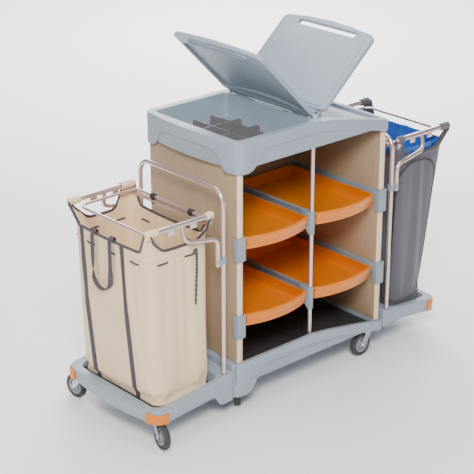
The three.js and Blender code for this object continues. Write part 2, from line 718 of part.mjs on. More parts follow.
// ---- casters ----
function casterFork() {
  const { plate, gap, top, head } = FORK;
  const { trail, radius, axle } = WHEEL;
  const cheek = new THREE.Shape();
  cheek.moveTo(-12, top - 12);
  cheek.lineTo(trail - 9, radius - 4);
  cheek.absarc(trail, radius, 9, 1.15 * Math.PI, 2 * Math.PI);
  cheek.lineTo(16, top - 12);
  const cheeks = [-1, 1].map((side) => {
    const [y0, y1] = [side * gap, side * (gap + plate)].sort((a, b) => a - b);
    return sweptAlongY(cheek, y0, y1, 3);
  });
  const crown = block(-12, 16, -gap - plate, gap + plate, top - 14, top - 9);
  const bearing = bar('z', top - 10, top, 0, 0, head, 12);
  const pin = bar('y', -gap - plate - 1, gap + plate + 1, trail, radius, axle, 8);
  return join(crown, bearing, ...cheeks, pin);
}

function wheelHub() {
  const { width, hub, bore } = WHEEL;
  const half = width / 2;
  const profile = [
    [bore, -half], [14, -half], [hub - 5, -half + 6], [hub, -half + 2],
    [hub, half - 2], [hub - 5, half - 6], [14, half], [bore, half], [bore, -half],
  ];
  return turned(profile, 12);
}

function tyre() {
  const { radius, width, hub } = WHEEL;
  const half = width / 2;
  const inside = (hub + GAP) / Math.cos(Math.PI / 20);
  const profile = [
    [inside, -half + 1], [radius - 7, -half], [radius, -half + 6],
    [radius, half - 6], [radius - 7, half], [inside, half - 1], [inside, -half + 1],
  ];
  return turned(profile, 20);
}

function addCasters() {
  Object.entries(CASTERS).forEach(([name, { at, turn }]) => {
    const swivel = new THREE.Group();
    swivel.position.set(at[0], at[1], 0);
    swivel.rotation.z = turn * degrees;
    cart.add(swivel);
    addPiece(`caster_${name}_fork`, casterFork(), 'steel', swivel);
    const axle = new THREE.Group();
    axle.position.set(WHEEL.trail, 0, WHEEL.radius);
    swivel.add(axle);
    addPiece(`caster_${name}_hub`, wheelHub(), 'hub_plastic', axle);
    addPiece(`caster_${name}_tyre`, tyre(), 'tyre_rubber', axle);
  });
}

// ---- assembly ----
addPiece('base_tray', baseTray(), 'grey_plastic');
addPiece('floor_liner', floorLiner(), 'dark_floor');
addPiece('side_panel_left', sidePanel(-1), 'pale_panel');
addPiece('side_panel_right', sidePanel(1), 'pale_panel');
addPiece('back_panel', backPanel(), 'pale_panel');
addPiece('centre_post_front', post(POST.front), 'chrome_tube');
addPiece('centre_post_back', post(POST.back), 'chrome_tube');

['lower', 'upper'].forEach((level, row) => {
  const lift = LIFTS[row];
  addPiece(`rail_left_${level}`, sideRail(-1, lift), 'clip_grey');
  addPiece(`rail_centre_${level}`, centreRail(lift), 'clip_grey');
  addPiece(`rail_right_${level}`, sideRail(1, lift), 'clip_grey');
  addPiece(`tray_left_${level}`, tray(-1, lift), 'orange_plastic');
  addPiece(`tray_right_${level}`, tray(1, lift), 'orange_plastic');
});

addPiece('top_tray', topTray(), 'grey_plastic');
addPiece('divider_insert', dividerInsert(), 'divider_grey');
addLids();

Object.entries(SIDES).forEach(([name, side]) => {
  const facing = (manifold) => (side.sign < 0 ? manifold.mirror([1, 0, 0]) : manifold);
  addPiece(`platform_${name}`, facing(platform(side)), 'grey_plastic');
  addPiece(`bumper_${name}_front`, facing(bumper(side, -1)), 'orange_plastic');
  addPiece(`bumper_${name}_back`, facing(bumper(side, 1)), 'orange_plastic');
  addPiece(`arch_${name}`, facing(arch()), 'chrome_tube');
  addPiece(`bag_frame_${name}`, facing(bagFrame(side.lift)), 'chrome_tube');
  addPiece(`bag_ring_${name}`, facing(bagRing(side.lift)), 'chrome_tube');
  const shell = bagShell(BAG_SPAN[name], side.lift, 0, BAG.floor, BAG.rim + side.lift);
  addPiece(`bag_${name}`, facing(shell), name === 'left' ? 'beige_fabric' : 'grey_fabric');
});
addPiece('platform_liner_left', platformLiner(SIDES.left).mirror([1, 0, 0]), 'dark_floor');
addPiece('bag_liner_right', bagShell(
  BAG_SPAN.right, SIDES.right.lift, BAG.thickness + 2, 320, BAG.rim + SIDES.right.lift + 22,
), 'blue_liner');
addPiece('drawstring_tail', smoothTube(DRAWSTRING.points, DRAWSTRING.radius, 8, 14), 'webbing');
addPiece('handle_loop', handleLoop(), 'webbing');
addCasters();

// the origin is on the floor under the middle of the cart's footprint
const footprint = new THREE.Box3().setFromObject(cart);
const middle = footprint.getCenter(new THREE.Vector3());
cart.position.set(-middle.x, -middle.y, -footprint.min.z);

export default cart;
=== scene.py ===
"""Housekeeping cart: the look of every piece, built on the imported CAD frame.

Lengths are metres in the row frame. at() turns the cart's own millimetres, counted from the
middle of the cabinet, into that frame.
"""
import json
import math

import bmesh
import bpy
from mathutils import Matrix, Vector, noise


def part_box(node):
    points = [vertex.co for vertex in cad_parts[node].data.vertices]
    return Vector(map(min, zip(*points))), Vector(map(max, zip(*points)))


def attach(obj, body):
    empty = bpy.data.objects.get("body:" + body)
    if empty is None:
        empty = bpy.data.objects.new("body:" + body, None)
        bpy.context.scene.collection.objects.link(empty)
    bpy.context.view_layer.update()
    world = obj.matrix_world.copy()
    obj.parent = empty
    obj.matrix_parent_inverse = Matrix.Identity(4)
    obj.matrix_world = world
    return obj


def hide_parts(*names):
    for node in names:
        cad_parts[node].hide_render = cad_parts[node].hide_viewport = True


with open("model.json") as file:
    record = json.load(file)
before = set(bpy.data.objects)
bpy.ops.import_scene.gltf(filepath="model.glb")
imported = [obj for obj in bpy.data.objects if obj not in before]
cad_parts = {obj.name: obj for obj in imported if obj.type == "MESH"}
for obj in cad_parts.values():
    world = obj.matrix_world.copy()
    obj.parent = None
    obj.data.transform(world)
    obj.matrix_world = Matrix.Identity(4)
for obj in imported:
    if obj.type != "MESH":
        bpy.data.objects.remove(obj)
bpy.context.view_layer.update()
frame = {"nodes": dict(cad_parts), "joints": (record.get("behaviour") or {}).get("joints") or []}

MM = 0.001


def middle(node):
    low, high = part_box(node)
    return (low + high) / 2


MIDDLE_X = middle("centre_post_front").x
MIDDLE_Y = middle("arch_left").y
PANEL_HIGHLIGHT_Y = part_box("side_panel_left")[0].y + 0.007  # where the painted highlight on the panels' front edges ends


def at(x, y, z):
    return Vector((MIDDLE_X + x * MM, MIDDLE_Y + y * MM, z * MM))


def share_of(value):
    """The value, held between 0 and 1."""
    return min(max(value, 0), 1)


def ease(share):
    """A share from 0 to 1 that starts and stops gently."""
    return share * share * (3 - 2 * share)


def heading(route, k):
    """The step from the point before the k-th point of a route to the one after it."""
    return route[min(k + 1, len(route) - 1)] - route[max(k - 1, 0)]


# ---- camera ----
CAMERA_PLACE = (-3.629, -3.865, 2.728)
CAMERA_TILT, CAMERA_HEADING = 67.48, -42.02  # degrees
CAMERA_LENS = 113.3


def make_camera():
    camera = bpy.data.objects.new("camera", bpy.data.cameras.new("camera"))
    bpy.context.scene.collection.objects.link(camera)
    camera.location = CAMERA_PLACE
    camera.rotation_euler = (math.radians(CAMERA_TILT), 0, math.radians(CAMERA_HEADING))
    camera.data.lens = CAMERA_LENS
    bpy.context.scene.camera = camera


# ---- materials ----
def srgb(red, green, blue):
    def linear(value):
        value /= 255
        return value / 12.92 if value <= 0.04045 else ((value + 0.055) / 1.055) ** 2.4
    return (linear(red), linear(green), linear(blue), 1)


class Paint:
    """A Principled material whose colour, roughness and bump are built up step by step."""

    def __init__(self, name, colour, roughness, metallic=0.0):
        self.material = bpy.data.materials.new(name)
        self.material.use_nodes = True
        self.tree = self.material.node_tree
        self.shader = self.tree.nodes["Principled BSDF"]
        self.colour = colour
        self.shader.inputs["Base Color"].default_value = colour
        self.shader.inputs["Roughness"].default_value = roughness
        self.shader.inputs["Metallic"].default_value = metallic
        self.roughness = roughness
        self.place = self.node("ShaderNodeTexCoord").outputs["Object"]
        self.normal = None

    def node(self, kind, **settings):
        node = self.tree.nodes.new(kind)
        for key, value in settings.items():
            setattr(node, key, value)
        return node

    def link(self, output, socket):
        self.tree.links.new(output, socket)

    def noise(self, scale, detail=3.0, stretch=(1, 1, 1)):
        mapping = self.node("ShaderNodeMapping")
        mapping.inputs["Scale"].default_value = stretch
        self.link(self.place, mapping.inputs["Vector"])
        texture = self.node("ShaderNodeTexNoise")
        texture.inputs["Scale"].default_value = scale
        texture.inputs["Detail"].default_value = detail
        self.link(mapping.outputs["Vector"], texture.inputs["Vector"])
        return texture.outputs["Fac"]

    def bands(self, scale, direction):
        """Even stripes along one direction of the frame: 'X', 'Y', 'Z' or 'DIAGONAL'."""
        texture = self.node("ShaderNodeTexWave", bands_direction=direction)
        texture.inputs["Scale"].default_value = scale
        self.link(self.place, texture.inputs["Vector"])
        return texture.outputs["Fac"]

    def front_of(self, y):
        """A mask that is high in front of a plane across the frame."""
        parts = self.node("ShaderNodeSeparateXYZ")
        self.link(self.place, parts.inputs["Vector"])
        return self.remap(parts.outputs["Y"], 1, 0, y - 0.0004, y + 0.0004)

    def join(self, first, second, operation="MULTIPLY"):
        node = self.node("ShaderNodeMath", operation=operation)
        self.link(first, node.inputs[0])
        self.link(second, node.inputs[1])
        return node.outputs["Value"]

    def remap(self, value, low, high, from_low=0.3, from_high=0.7):
        node = self.node("ShaderNodeMapRange")
        node.inputs["From Min"].default_value = from_low
        node.inputs["From Max"].default_value = from_high
        node.inputs["To Min"].default_value = low
        node.inputs["To Max"].default_value = high
        self.link(value, node.inputs["Value"])
        return node.outputs["Result"]

    def tint(self, mask, other, amount=1.0):
        """Mixes another colour in where the mask is high."""
        mix = self.node("ShaderNodeMix", data_type="RGBA")
        mix.inputs["B"].default_value = other
        mix.inputs["A"].default_value = self.colour
        current = self.shader.inputs["Base Color"]
        if current.is_linked:
            self.link(current.links[0].from_socket, mix.inputs["A"])
        self.link(self.remap(mask, 0, amount), mix.inputs["Factor"])
        self.link(mix.outputs["Result"], current)
        return self

    def vary_roughness(self, mask, spread):
        low, high = self.roughness - spread, self.roughness + spread
        self.link(self.remap(mask, low, high), self.shader.inputs["Roughness"])
        return self

    def bump(self, height, distance, strength=1.0):
        node = self.node("ShaderNodeBump")
        node.inputs["Distance"].default_value = distance
        node.inputs["Strength"].default_value = strength
        self.link(height, node.inputs["Height"])
        if self.normal:
            self.link(self.normal, node.inputs["Normal"])
        self.normal = node.outputs["Normal"]
        self.link(self.normal, self.shader.inputs["Normal"])
        return self


def moulded(name, colour, shade, roughness=0.42, grain=0.00006):
    """Moulded plastic: a fine grain, faint cloudiness and a little wear in the gloss."""
    paint = Paint(name, colour, roughness)
    paint.tint(paint.noise(6, 4), shade, 0.35)
    paint.vary_roughness(paint.noise(25, 5), 0.07)
    paint.bump(paint.noise(1400, 2), grain, 0.6)
    return paint.material


def panel_board():
    """Laminated board: a soft beige with a fine speckle and faint upright grain, and a painted
    highlight on the front edges.
    """
    paint = Paint("pale_board", srgb(172, 148, 120), 0.5)
    paint.tint(paint.noise(60, 6, (1, 1, 0.08)), srgb(156, 132, 104), 0.5)
    paint.tint(paint.noise(900, 2), srgb(188, 164, 134), 0.35)
    # painted highlight: the front edges are painted lighter, as if their rounding caught the light
    paint.tint(paint.front_of(PANEL_HIGHLIGHT_Y), srgb(236, 208, 176))
    paint.vary_roughness(paint.noise(30, 4), 0.06)
    paint.bump(paint.noise(700, 2), 0.00005, 0.5)
    return paint.material


def ribbed_mat():
    """Dark floor mat with fine ribs from front to back."""
    paint = Paint("floor_mat", srgb(44, 44, 46), 0.72)
    paint.tint(paint.noise(18, 5), srgb(60, 60, 62), 0.5)
    paint.bump(paint.bands(62, "X"), 0.0006, 0.8)
    paint.bump(paint.noise(900, 2), 0.0001, 0.5)
    return paint.material


def satin_tube():
    """Plated tube with fine drawing lines and patches of duller plating."""
    paint = Paint("satin_tube", srgb(226, 204, 200), 0.34, 0.9)
    paint.tint(paint.noise(5, 3), srgb(214, 198, 196), 0.3)
    paint.vary_roughness(paint.noise(14, 3), 0.03)
    paint.bump(paint.noise(2200, 2), 0.00001, 0.3)
    return paint.material


def plated_steel():
    """Bright plating with a fine uneven gloss."""
    paint = Paint("plated_steel", srgb(186, 190, 196), 0.3, 1.0)
    paint.tint(paint.noise(40, 4), srgb(150, 154, 160), 0.5)
    paint.vary_roughness(paint.noise(160, 4), 0.1)
    return paint.material


def woven(name, colour, shade, thread=0.0011, sheen=0.2, relief=0.00022):
    """Coated cloth: crossing threads, slubs and broad soft shading."""
    paint = Paint(name, colour, 0.78)
    scale = 0.5 / thread
    weave = paint.join(paint.bands(scale, "Z"), paint.bands(scale, "DIAGONAL"))
    paint.tint(paint.noise(5, 4), shade, 0.45)
    paint.tint(weave, shade, 0.25)
    paint.tint(paint.noise(320, 2, (1, 1, 0.15)), shade, 0.2)
    paint.bump(weave, relief, 0.7)
    paint.bump(paint.noise(120, 4), 0.0004, 0.25)
    paint.shader.inputs["Sheen Weight"].default_value = sheen
    paint.shader.inputs["Sheen Roughness"].default_value = 0.5
    return paint.material


def webbing_cloth():
    paint = Paint("webbing_cloth", srgb(88, 80, 88), 0.85)
    rib = paint.join(paint.bands(260, "Z"), paint.bands(420, "DIAGONAL"), "ADD")
    paint.tint(paint.noise(200, 3), srgb(64, 58, 66), 0.6)
    paint.bump(rib, 0.0003, 0.8)
    return paint.material


def tyre_rubber():
    paint = Paint("tyre_compound", srgb(50, 48, 52), 0.75)
    paint.tint(paint.noise(60, 5), srgb(92, 90, 94), 0.5)
    paint.bump(paint.noise(600, 4), 0.00015, 0.6)
    return paint.material


def liner_film():
    paint = Paint("liner_film", srgb(36, 84, 172), 0.35)
    paint.tint(paint.noise(30, 5), srgb(70, 124, 204), 0.5)
    paint.bump(paint.noise(70, 5, (1, 1, 0.4)), 0.0012, 0.5)
    return paint.material


GREY = moulded("grey_moulding", srgb(148, 160, 173), srgb(136, 148, 161))
CLIP_GREY = moulded("clip_moulding", srgb(140, 151, 160), srgb(120, 131, 140), 0.45)
ORANGE = moulded("orange_moulding", srgb(228, 126, 0), srgb(212, 108, 0), 0.36)
DIVIDER = moulded("divider_moulding", srgb(118, 114, 117), srgb(100, 97, 100), 0.55)
HUB = moulded("hub_moulding", srgb(148, 153, 158), srgb(128, 133, 138), 0.45)
BOARD = panel_board()
MAT = ribbed_mat()
TUBE = satin_tube()
STEEL = plated_steel()
DARK = moulded("dark_moulding", srgb(46, 47, 50), srgb(36, 37, 40), 0.6)
BEIGE_CLOTH = woven("beige_cloth", srgb(246, 216, 174), srgb(230, 198, 156))
GREY_CLOTH = woven("grey_cloth", srgb(90, 88, 98), srgb(74, 72, 82), sheen=0.3)
WEBBING = webbing_cloth()
BINDING = woven("binding_tape", srgb(70, 58, 62), srgb(54, 44, 50), 0.0008)
BEIGE_THREAD = woven("beige_thread", srgb(206, 186, 154), srgb(190, 170, 140), 0.0006)
GREY_THREAD = woven("grey_thread", srgb(84, 82, 92), srgb(70, 68, 78), 0.0006)
TEETH = moulded("zip_teeth", srgb(52, 42, 48), srgb(40, 32, 38), 0.4)
RUBBER = tyre_rubber()
FILM = liner_film()


# ---- pieces ----
def add_piece(name, mesh, material, body, replaces=(), smooth_angle=40):
    piece = bpy.data.objects.new(name, mesh)
    bpy.context.scene.collection.objects.link(piece)
    mesh.materials.clear()
    mesh.materials.append(material)
    mesh.shade_smooth()
    if smooth_angle:
        mesh.set_sharp_from_angle(angle=math.radians(smooth_angle))
    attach(piece, body)
    if replaces:
        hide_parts(*replaces)
    return piece


def mesh_of(name, vertices, faces):
    mesh = bpy.data.meshes.new(name)
    mesh.from_pydata([tuple(v) for v in vertices], [], faces)
    mesh.validate()
    return mesh


def close(bm, mesh_name):
    """Turns a bmesh with merged vertices and outward faces into a mesh."""
    bmesh.ops.remove_doubles(bm, verts=bm.verts, dist=1e-6)
    bmesh.ops.recalc_face_normals(bm, faces=bm.faces)
    mesh = bpy.data.meshes.new(mesh_name)
    bm.to_mesh(mesh)
    bm.free()
    return mesh


def apply_modifiers(piece):
    graph = bpy.context.evaluated_depsgraph_get()
    shaped = bpy.data.meshes.new_from_object(piece.evaluated_get(graph))
    piece.modifiers.clear()
    piece.data = shaped


def subdivide_once(piece):
    smooth = piece.modifiers.new("smooth", "SUBSURF")
    smooth.levels = smooth.render_levels = 1


def refined(node, material, width=1.4, segments=2, body="cart"):
    """A copy of a CAD node with its flat faces cleaned up and its edges rounded."""
    bm = bmesh.new()
    bm.from_mesh(frame["nodes"][node].data)
    bmesh.ops.remove_doubles(bm, verts=bm.verts, dist=2e-5)
    bmesh.ops.dissolve_limit(
        bm, angle_limit=math.radians(0.8), verts=bm.verts, edges=bm.edges,
    )
    mesh = close(bm, node)
    piece = add_piece(f"{node}_finished", mesh, material, body, (node,), 0)
    bevel = piece.modifiers.new("rounding", "BEVEL")
    bevel.width = width * MM
    bevel.segments = segments
    bevel.limit_method = "ANGLE"
    bevel.angle_limit = math.radians(32)
    bevel.use_clamp_overlap = False
    bevel.harden_normals = True
    bevel.miter_outer = "MITER_ARC"
    apply_modifiers(piece)
    piece.data.shade_smooth()
    piece.data.set_sharp_from_angle(angle=math.radians(50))
    return piece


# ---- tubes and other shapes made of rings ----
def skin(bm, rings, closed=False):
    """Joins each ring of vertices to the next, and the last to the first if closed."""
    for low, high in zip(rings, rings[1:] + rings[:closed]):
        for i in range(len(low)):
            j = (i + 1) % len(low)
            bm.faces.new((low[i], low[j], high[j], high[i]))


def prism(bm, rings):
    """Joins rings of vertices and closes both ends."""
    skin(bm, rings)
    bm.faces.new(rings[0])
    bm.faces.new(list(reversed(rings[-1])))


def rounded_route(corners, bend, steps=10):
    """Straight runs between corner points, with a round bend at each corner."""
    route = [corners[0]]
    for before, corner, after in zip(corners, corners[1:], corners[2:]):
        arriving = (corner - before).normalized()
        leaving = (after - corner).normalized()
        angle = arriving.angle(leaving)
        start = corner - arriving * bend * math.tan(angle / 2)
        inward = (leaving - arriving * math.cos(angle)).normalized()
        for k in range(steps + 1):
            turn = angle * k / steps
            along = arriving * bend * math.sin(turn)
            route.append(start + along + inward * bend * (1 - math.cos(turn)))
    route.append(corners[-1])
    return route


def smooth_route(points, steps=8):
    """A Catmull-Rom curve through given points."""
    ends = [2 * points[0] - points[1], *points, 2 * points[-1] - points[-2]]
    route = []
    for a, b, c, d in zip(ends, ends[1:], ends[2:], ends[3:]):
        for k in range(steps):
            t = k / steps
            route.append(0.5 * (2 * b + (c - a) * t + (2 * a - 5 * b + 4 * c - d) * t * t
                                + (3 * b - a - 3 * c + d) * t ** 3))
    route.append(points[-1])
    return route


def frames_along(route, start_side=None):
    """A side and an up vector at each point of a route, turning as little as possible."""
    tangents = [heading(route, k).normalized() for k in range(len(route))]
    side = start_side or tangents[0].orthogonal().normalized()
    frames = []
    for tangent in tangents:
        side = (side - tangent * side.dot(tangent)).normalized()
        frames.append((side, tangent.cross(side)))
    return frames


def sweep_section(bm, route, section, start_side=None, closed_ends=True):
    """Sweeps a closed section of (side, up) points along a route."""
    rings = []
    for point, (side, up) in zip(route, frames_along(route, start_side)):
        rings.append([bm.verts.new(point + side * a + up * b) for a, b in section])
    skin(bm, rings)
    if closed_ends:
        bm.faces.new(list(reversed(rings[0])))
        bm.faces.new(rings[-1])


def round_section(radius, sides=20):
    angles = [2 * math.pi * k / sides for k in range(sides)]
    return [(radius * math.cos(a), radius * math.sin(a)) for a in angles]


def lathe(bm, profile, origin, axis, sides=32, start=None):
    """Turns a closed (radius, along) profile about an axis through origin."""
    axis = axis.normalized()
    side = (start or axis.orthogonal()).normalized()
    up = axis.cross(side)
    rings = []
    for k in range(sides):
        angle = 2 * math.pi * k / sides
        outward = side * math.cos(angle) + up * math.sin(angle)
        rings.append([bm.verts.new(origin + outward * r + axis * h) for r, h in profile])
    skin(bm, rings, True)


def solid_block(bm, low, high, edge=0.0):
    """A box with its edges cut back, as part of a larger mesh."""
    made = bmesh.ops.create_cube(bm, size=1)["verts"]
    size, centre = high - low, (high + low) / 2
    for vertex in made:
        vertex.co = Vector(vertex.co[i] * size[i] + centre[i] for i in range(3))
    if edge:
        edges = list({e for v in made for e in v.link_edges})
        bmesh.ops.bevel(bm, geom=edges, offset=edge, segments=2, affect="EDGES", profile=0.6)


def ball(bm, centre, radius):
    made = bmesh.ops.create_uvsphere(bm, u_segments=20, v_segments=12, radius=radius)["verts"]
    bmesh.ops.translate(bm, verts=made, vec=centre)


# ---- cabinet ----
def bar_piece(name, node, material, radius, route, body="cart", sides=24):
    bm = bmesh.new()
    sweep_section(bm, route, round_section(radius, sides))
    return add_piece(name, close(bm, name), material, body, (node,))


def make_posts():
    for end in ("front", "back"):
        node = f"centre_post_{end}"
        low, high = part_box(node)
        x, y = (low.x + high.x) / 2, (low.y + high.y) / 2
        radius = (high.x - low.x) / 2
        route = [Vector((x, y, low.z)), Vector((x, y, high.z))]
        bar_piece(f"{node}_tube", node, TUBE, radius, route)


BASE_CORNER = {"x": 368, "y": 224, "radius": 34}  # centre and radius of the round corners, mm


def tuck_corners(piece):
    """Draws the square corners of the base's end blocks in behind its round outer corners."""
    for vertex in piece.data.vertices:
        place = (vertex.co - at(0, 0, 0)) / MM
        past = Vector((abs(place.x) - BASE_CORNER["x"], abs(place.y) - BASE_CORNER["y"]))
        if min(past) > 0 and past.length > BASE_CORNER["radius"] + 0.02:
            past *= (BASE_CORNER["radius"] - 1.4) / past.length
            x = math.copysign(BASE_CORNER["x"] + past.x, place.x)
            y = math.copysign(BASE_CORNER["y"] + past.y, place.y)
            vertex.co = at(x, y, place.z)


def make_cabinet():
    tuck_corners(refined("base_tray", GREY, 2.2, 3))
    refined("top_tray", GREY, 2.0, 3)
    refined("floor_liner", MAT, 0.8)
    for side in ("left", "right"):
        refined(f"side_panel_{side}", BOARD, 0.8)
    for place in ("left", "centre", "right"):
        for level in ("lower", "upper"):
            refined(f"rail_{place}_{level}", CLIP_GREY, 1.2)
    refined("back_panel", BOARD, 0.8)
    make_divider()
    make_posts()


def divider_plate(bm, start, end, across, low, high):
    """One upright plate from start to end, with its two upper corners rounded."""
    along = (end - start).normalized()
    length, radius = (end - start).length, 14 * MM
    outline = [(0, low), (length, low)]
    for centre, first in ((length - radius, 0), (radius, 90)):
        for k in range(7):
            angle = math.radians(first + 15 * k)
            outline.append((centre + radius * math.cos(angle),
                            high - radius + radius * math.sin(angle)))
    sides = []
    for face in (-1, 1):
        shift = start + across * face * 2 * MM
        sides.append([bm.verts.new(shift + along * a + Vector((0, 0, h))) for a, h in outline])
    prism(bm, sides)


DIVIDER_LONG_Y = (-60, 40)
DIVIDER_SHORT_INSETS = (70, 154)  # from the divider's left end, mm


def make_divider():
    """Two long plates crossed by two short ones, which part the left compartment."""
    low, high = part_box("divider_insert")
    bm = bmesh.new()
    for y in DIVIDER_LONG_Y:
        line = at(0, y, 0).y
        divider_plate(bm, Vector((low.x, line, 0)), Vector((high.x, line, 0)),
                      Vector((0, 1, 0)), low.z, high.z)
    for inset in DIVIDER_SHORT_INSETS:
        line = low.x + inset * MM
        divider_plate(bm, Vector((line, low.y, 0)), Vector((line, high.y, 0)),
                      Vector((1, 0, 0)), low.z, high.z)
    add_piece("divider_plates", close(bm, "divider_plates"), DIVIDER, "cart",
              ("divider_insert",), 30)


def make_trays():
    for side in ("left", "right"):
        for level in ("lower", "upper"):
            body = f"tray_{side}_{level}"
            refined(body, ORANGE, 1.3, 2, body)


def make_lids():
    for side in ("left", "right"):
        refined(f"lid_{side}", GREY, 1.6, 3, f"lid_{side}")
        node = f"lid_hinge_rod_{side}"
        low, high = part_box(node)
        x, z = (low.x + high.x) / 2, (low.z + high.z) / 2
        route = [Vector((x, low.y, z)), Vector((x, high.y, z))]
        bar_piece(f"{node}_pin", node, STEEL, (high.z - low.z) / 2, route, sides=16)
        make_lid_details(side)
    make_hinge_slot_shade()


LID_HINGE = {"left": (2, -1, 45), "right": (44, 1, 41.5)}  # x, which way it opens, degrees up
LID_HINGE_Z = 1065
GRIP_SLOT = {"left": 364, "right": 342}  # from the hinge to the slot, mm


def on_lid(side, along, y, height):
    """A place on an open lid: along it from its hinge, across it, and above its middle plane."""
    x, sign, angle = LID_HINGE[side]
    angle = math.radians(angle)
    return at(x + sign * (along * math.cos(angle) - height * math.sin(angle)), y,
              LID_HINGE_Z + along * math.sin(angle) + height * math.cos(angle))


def slab_on_lid(bm, side, outline, low, high):
    """A flat piece on a lid from its outline of (along, y) points."""
    rings = [[bm.verts.new(on_lid(side, a, y, h)) for a, y in outline] for h in (low, high)]
    prism(bm, rings)


def grip_outline(slot_at, wide, tall, corner, steps=6):
    """The rounded outline round the grip slot, as (along, y) points."""
    points = []
    for sign_a, sign_y, first in ((1, 1, 0), (-1, 1, 90), (-1, -1, 180), (1, -1, 270)):
        for k in range(steps + 1):
            angle = math.radians(first + 90 * k / steps)
            points.append((slot_at + sign_a * (wide - corner) + corner * math.cos(angle),
                           sign_y * (tall - corner) + corner * math.sin(angle)))
    return points


def grip_lip(bm, side, slot_at):
    """The lip that stands down round the grip slot."""
    inner = grip_outline(slot_at, 11.2, 150.2, 10.2)
    outer = grip_outline(slot_at, 13, 154, 12)
    rings = []
    for outline, height in ((inner, -4.5), (inner, -11), (outer, -11), (outer, -4.5)):
        rings.append([bm.verts.new(on_lid(side, a, y, height)) for a, y in outline])
    skin(bm, rings, True)


def make_lid_details(side):
    """Under the lid: the lip of the grip pocket, the stiffener at the hinge, and screw bosses."""
    slot_at = GRIP_SLOT[side]
    bm = bmesh.new()
    if side == "left":
        grip_lip(bm, side, slot_at)
    half = 214
    bulge = [(30 + 34 * math.cos(math.pi * k / 40), half * k / 20) for k in range(-20, 21)]
    slab_on_lid(bm, side, [(26, half), (26, -half), *bulge], -3, 7)
    for along, y in ((slot_at - 20, 176), (slot_at - 20, -176)):
        boss = [(along + 6 * math.cos(k * math.pi / 8), y + 6 * math.sin(k * math.pi / 8))
                for k in range(16)]
        slab_on_lid(bm, side, boss, -7, 0)
    name = f"lid_{side}_underside"
    add_piece(name, close(bm, name), GREY, f"lid_{side}", (), 35)


def make_hinge_slot_shade():
    """Two short dark blocks on the bridge beside the left lid's knuckles: painted shade standing in
    for two slots.
    """
    bm = bmesh.new()
    for y in (-96, 96):
        solid_block(bm, at(-12, y - 17, 1057), at(-5.5, y + 17, 1058.6), 0.0003)
    # the dark blocks are painted shade: they sit on the surface where the shade inside the slots
    # would be
    add_piece("bridge_slot_shade", close(bm, "bridge_slot_shade"), DARK, "cart")


# ---- platforms and tube work ----
PLATFORM_SIGN = {"left": -1, "right": 1}
LIFT = {"left": 0, "right": 54}  # the right bag hangs this much higher, mm
BAR = {"y": 218, "z": 810}  # the bars that a bag hangs on, mm
ARM_Y = 232
RING = {"x": 486, "z": 793}  # the hinge of the bail, mm


def make_platforms():
    for side in PLATFORM_SIGN:
        refined(f"platform_{side}", GREY, 2.0, 3)
        for end in ("front", "back"):
            refined(f"bumper_{side}_{end}", ORANGE, 2.2, 3)
    refined("platform_liner_left", MAT, 0.6)


def make_arches():
    """The push handles: two upright legs joined by a level bar with round shoulders."""
    for side, sign in PLATFORM_SIGN.items():
        node = f"arch_{side}"
        low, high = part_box(node)
        radius = (high.x - low.x) / 2
        x = (low.x + high.x) / 2
        corners = [
            Vector((x, low.y + radius, low.z)), Vector((x, low.y + radius, high.z - radius)),
            Vector((x, high.y - radius, high.z - radius)), Vector((x, high.y - radius, low.z)),
        ]
        route = rounded_route(corners, 0.052, 12)
        bar_piece(f"{node}_tube", node, TUBE, radius, route)


def frame_arm(bm, sign, end, lift):
    """The S-shaped arm that carries one bar of the frame from the push handle."""
    corners = [
        at(sign * 615, end * BAR["y"], BAR["z"] + lift), at(sign * 611, end * ARM_Y, 746 + lift),
        at(sign * 464, end * ARM_Y, 718 + lift), at(sign * 462, end * ARM_Y, 613 + lift),
    ]
    sweep_section(bm, rounded_route(corners, 0.03, 8), round_section(0.0085, 18))


def frame_bar(bm, sign, end, lift):
    """One of the two bars that the bag hangs on, with a ball at each end and two tabs under it."""
    y, z = end * BAR["y"], BAR["z"] + lift
    sweep_section(bm, [at(sign * 478, y, z), at(sign * 768, y, z)], round_section(0.01, 22))
    for x in (481, 765):
        ball(bm, at(sign * x, y, z), 0.0104)
    for x in (563, 663):
        low, high = sorted((sign * (x - 14), sign * (x + 14)))
        solid_block(bm, at(low, y - 3, z - 27), at(high, y + 3, z - 6), 0.0012)


def frame_cross(bm, sign, lift):
    """The dropped cross tube on the cabinet side, under the clips that the ring turns in."""
    x, top, low = sign * RING["x"], BAR["z"] + lift, 776 + lift
    corners = [
        at(x, -BAR["y"], top), at(x, -216, low), at(x, 216, low), at(x, BAR["y"], top),
    ]
    sweep_section(bm, rounded_route(corners, 0.012, 6), round_section(0.008, 18))


def make_frames():
    for side, sign in PLATFORM_SIGN.items():
        lift = LIFT[side]
        bm = bmesh.new()
        for end in (-1, 1):
            frame_bar(bm, sign, end, lift)
            frame_arm(bm, sign, end, lift)
        frame_cross(bm, sign, lift)
        name = f"bag_frame_{side}_tubes"
        add_piece(name, close(bm, name), TUBE, "cart", (f"bag_frame_{side}",))
        make_clamps(side, sign, lift)
        make_ring(side, sign, lift)


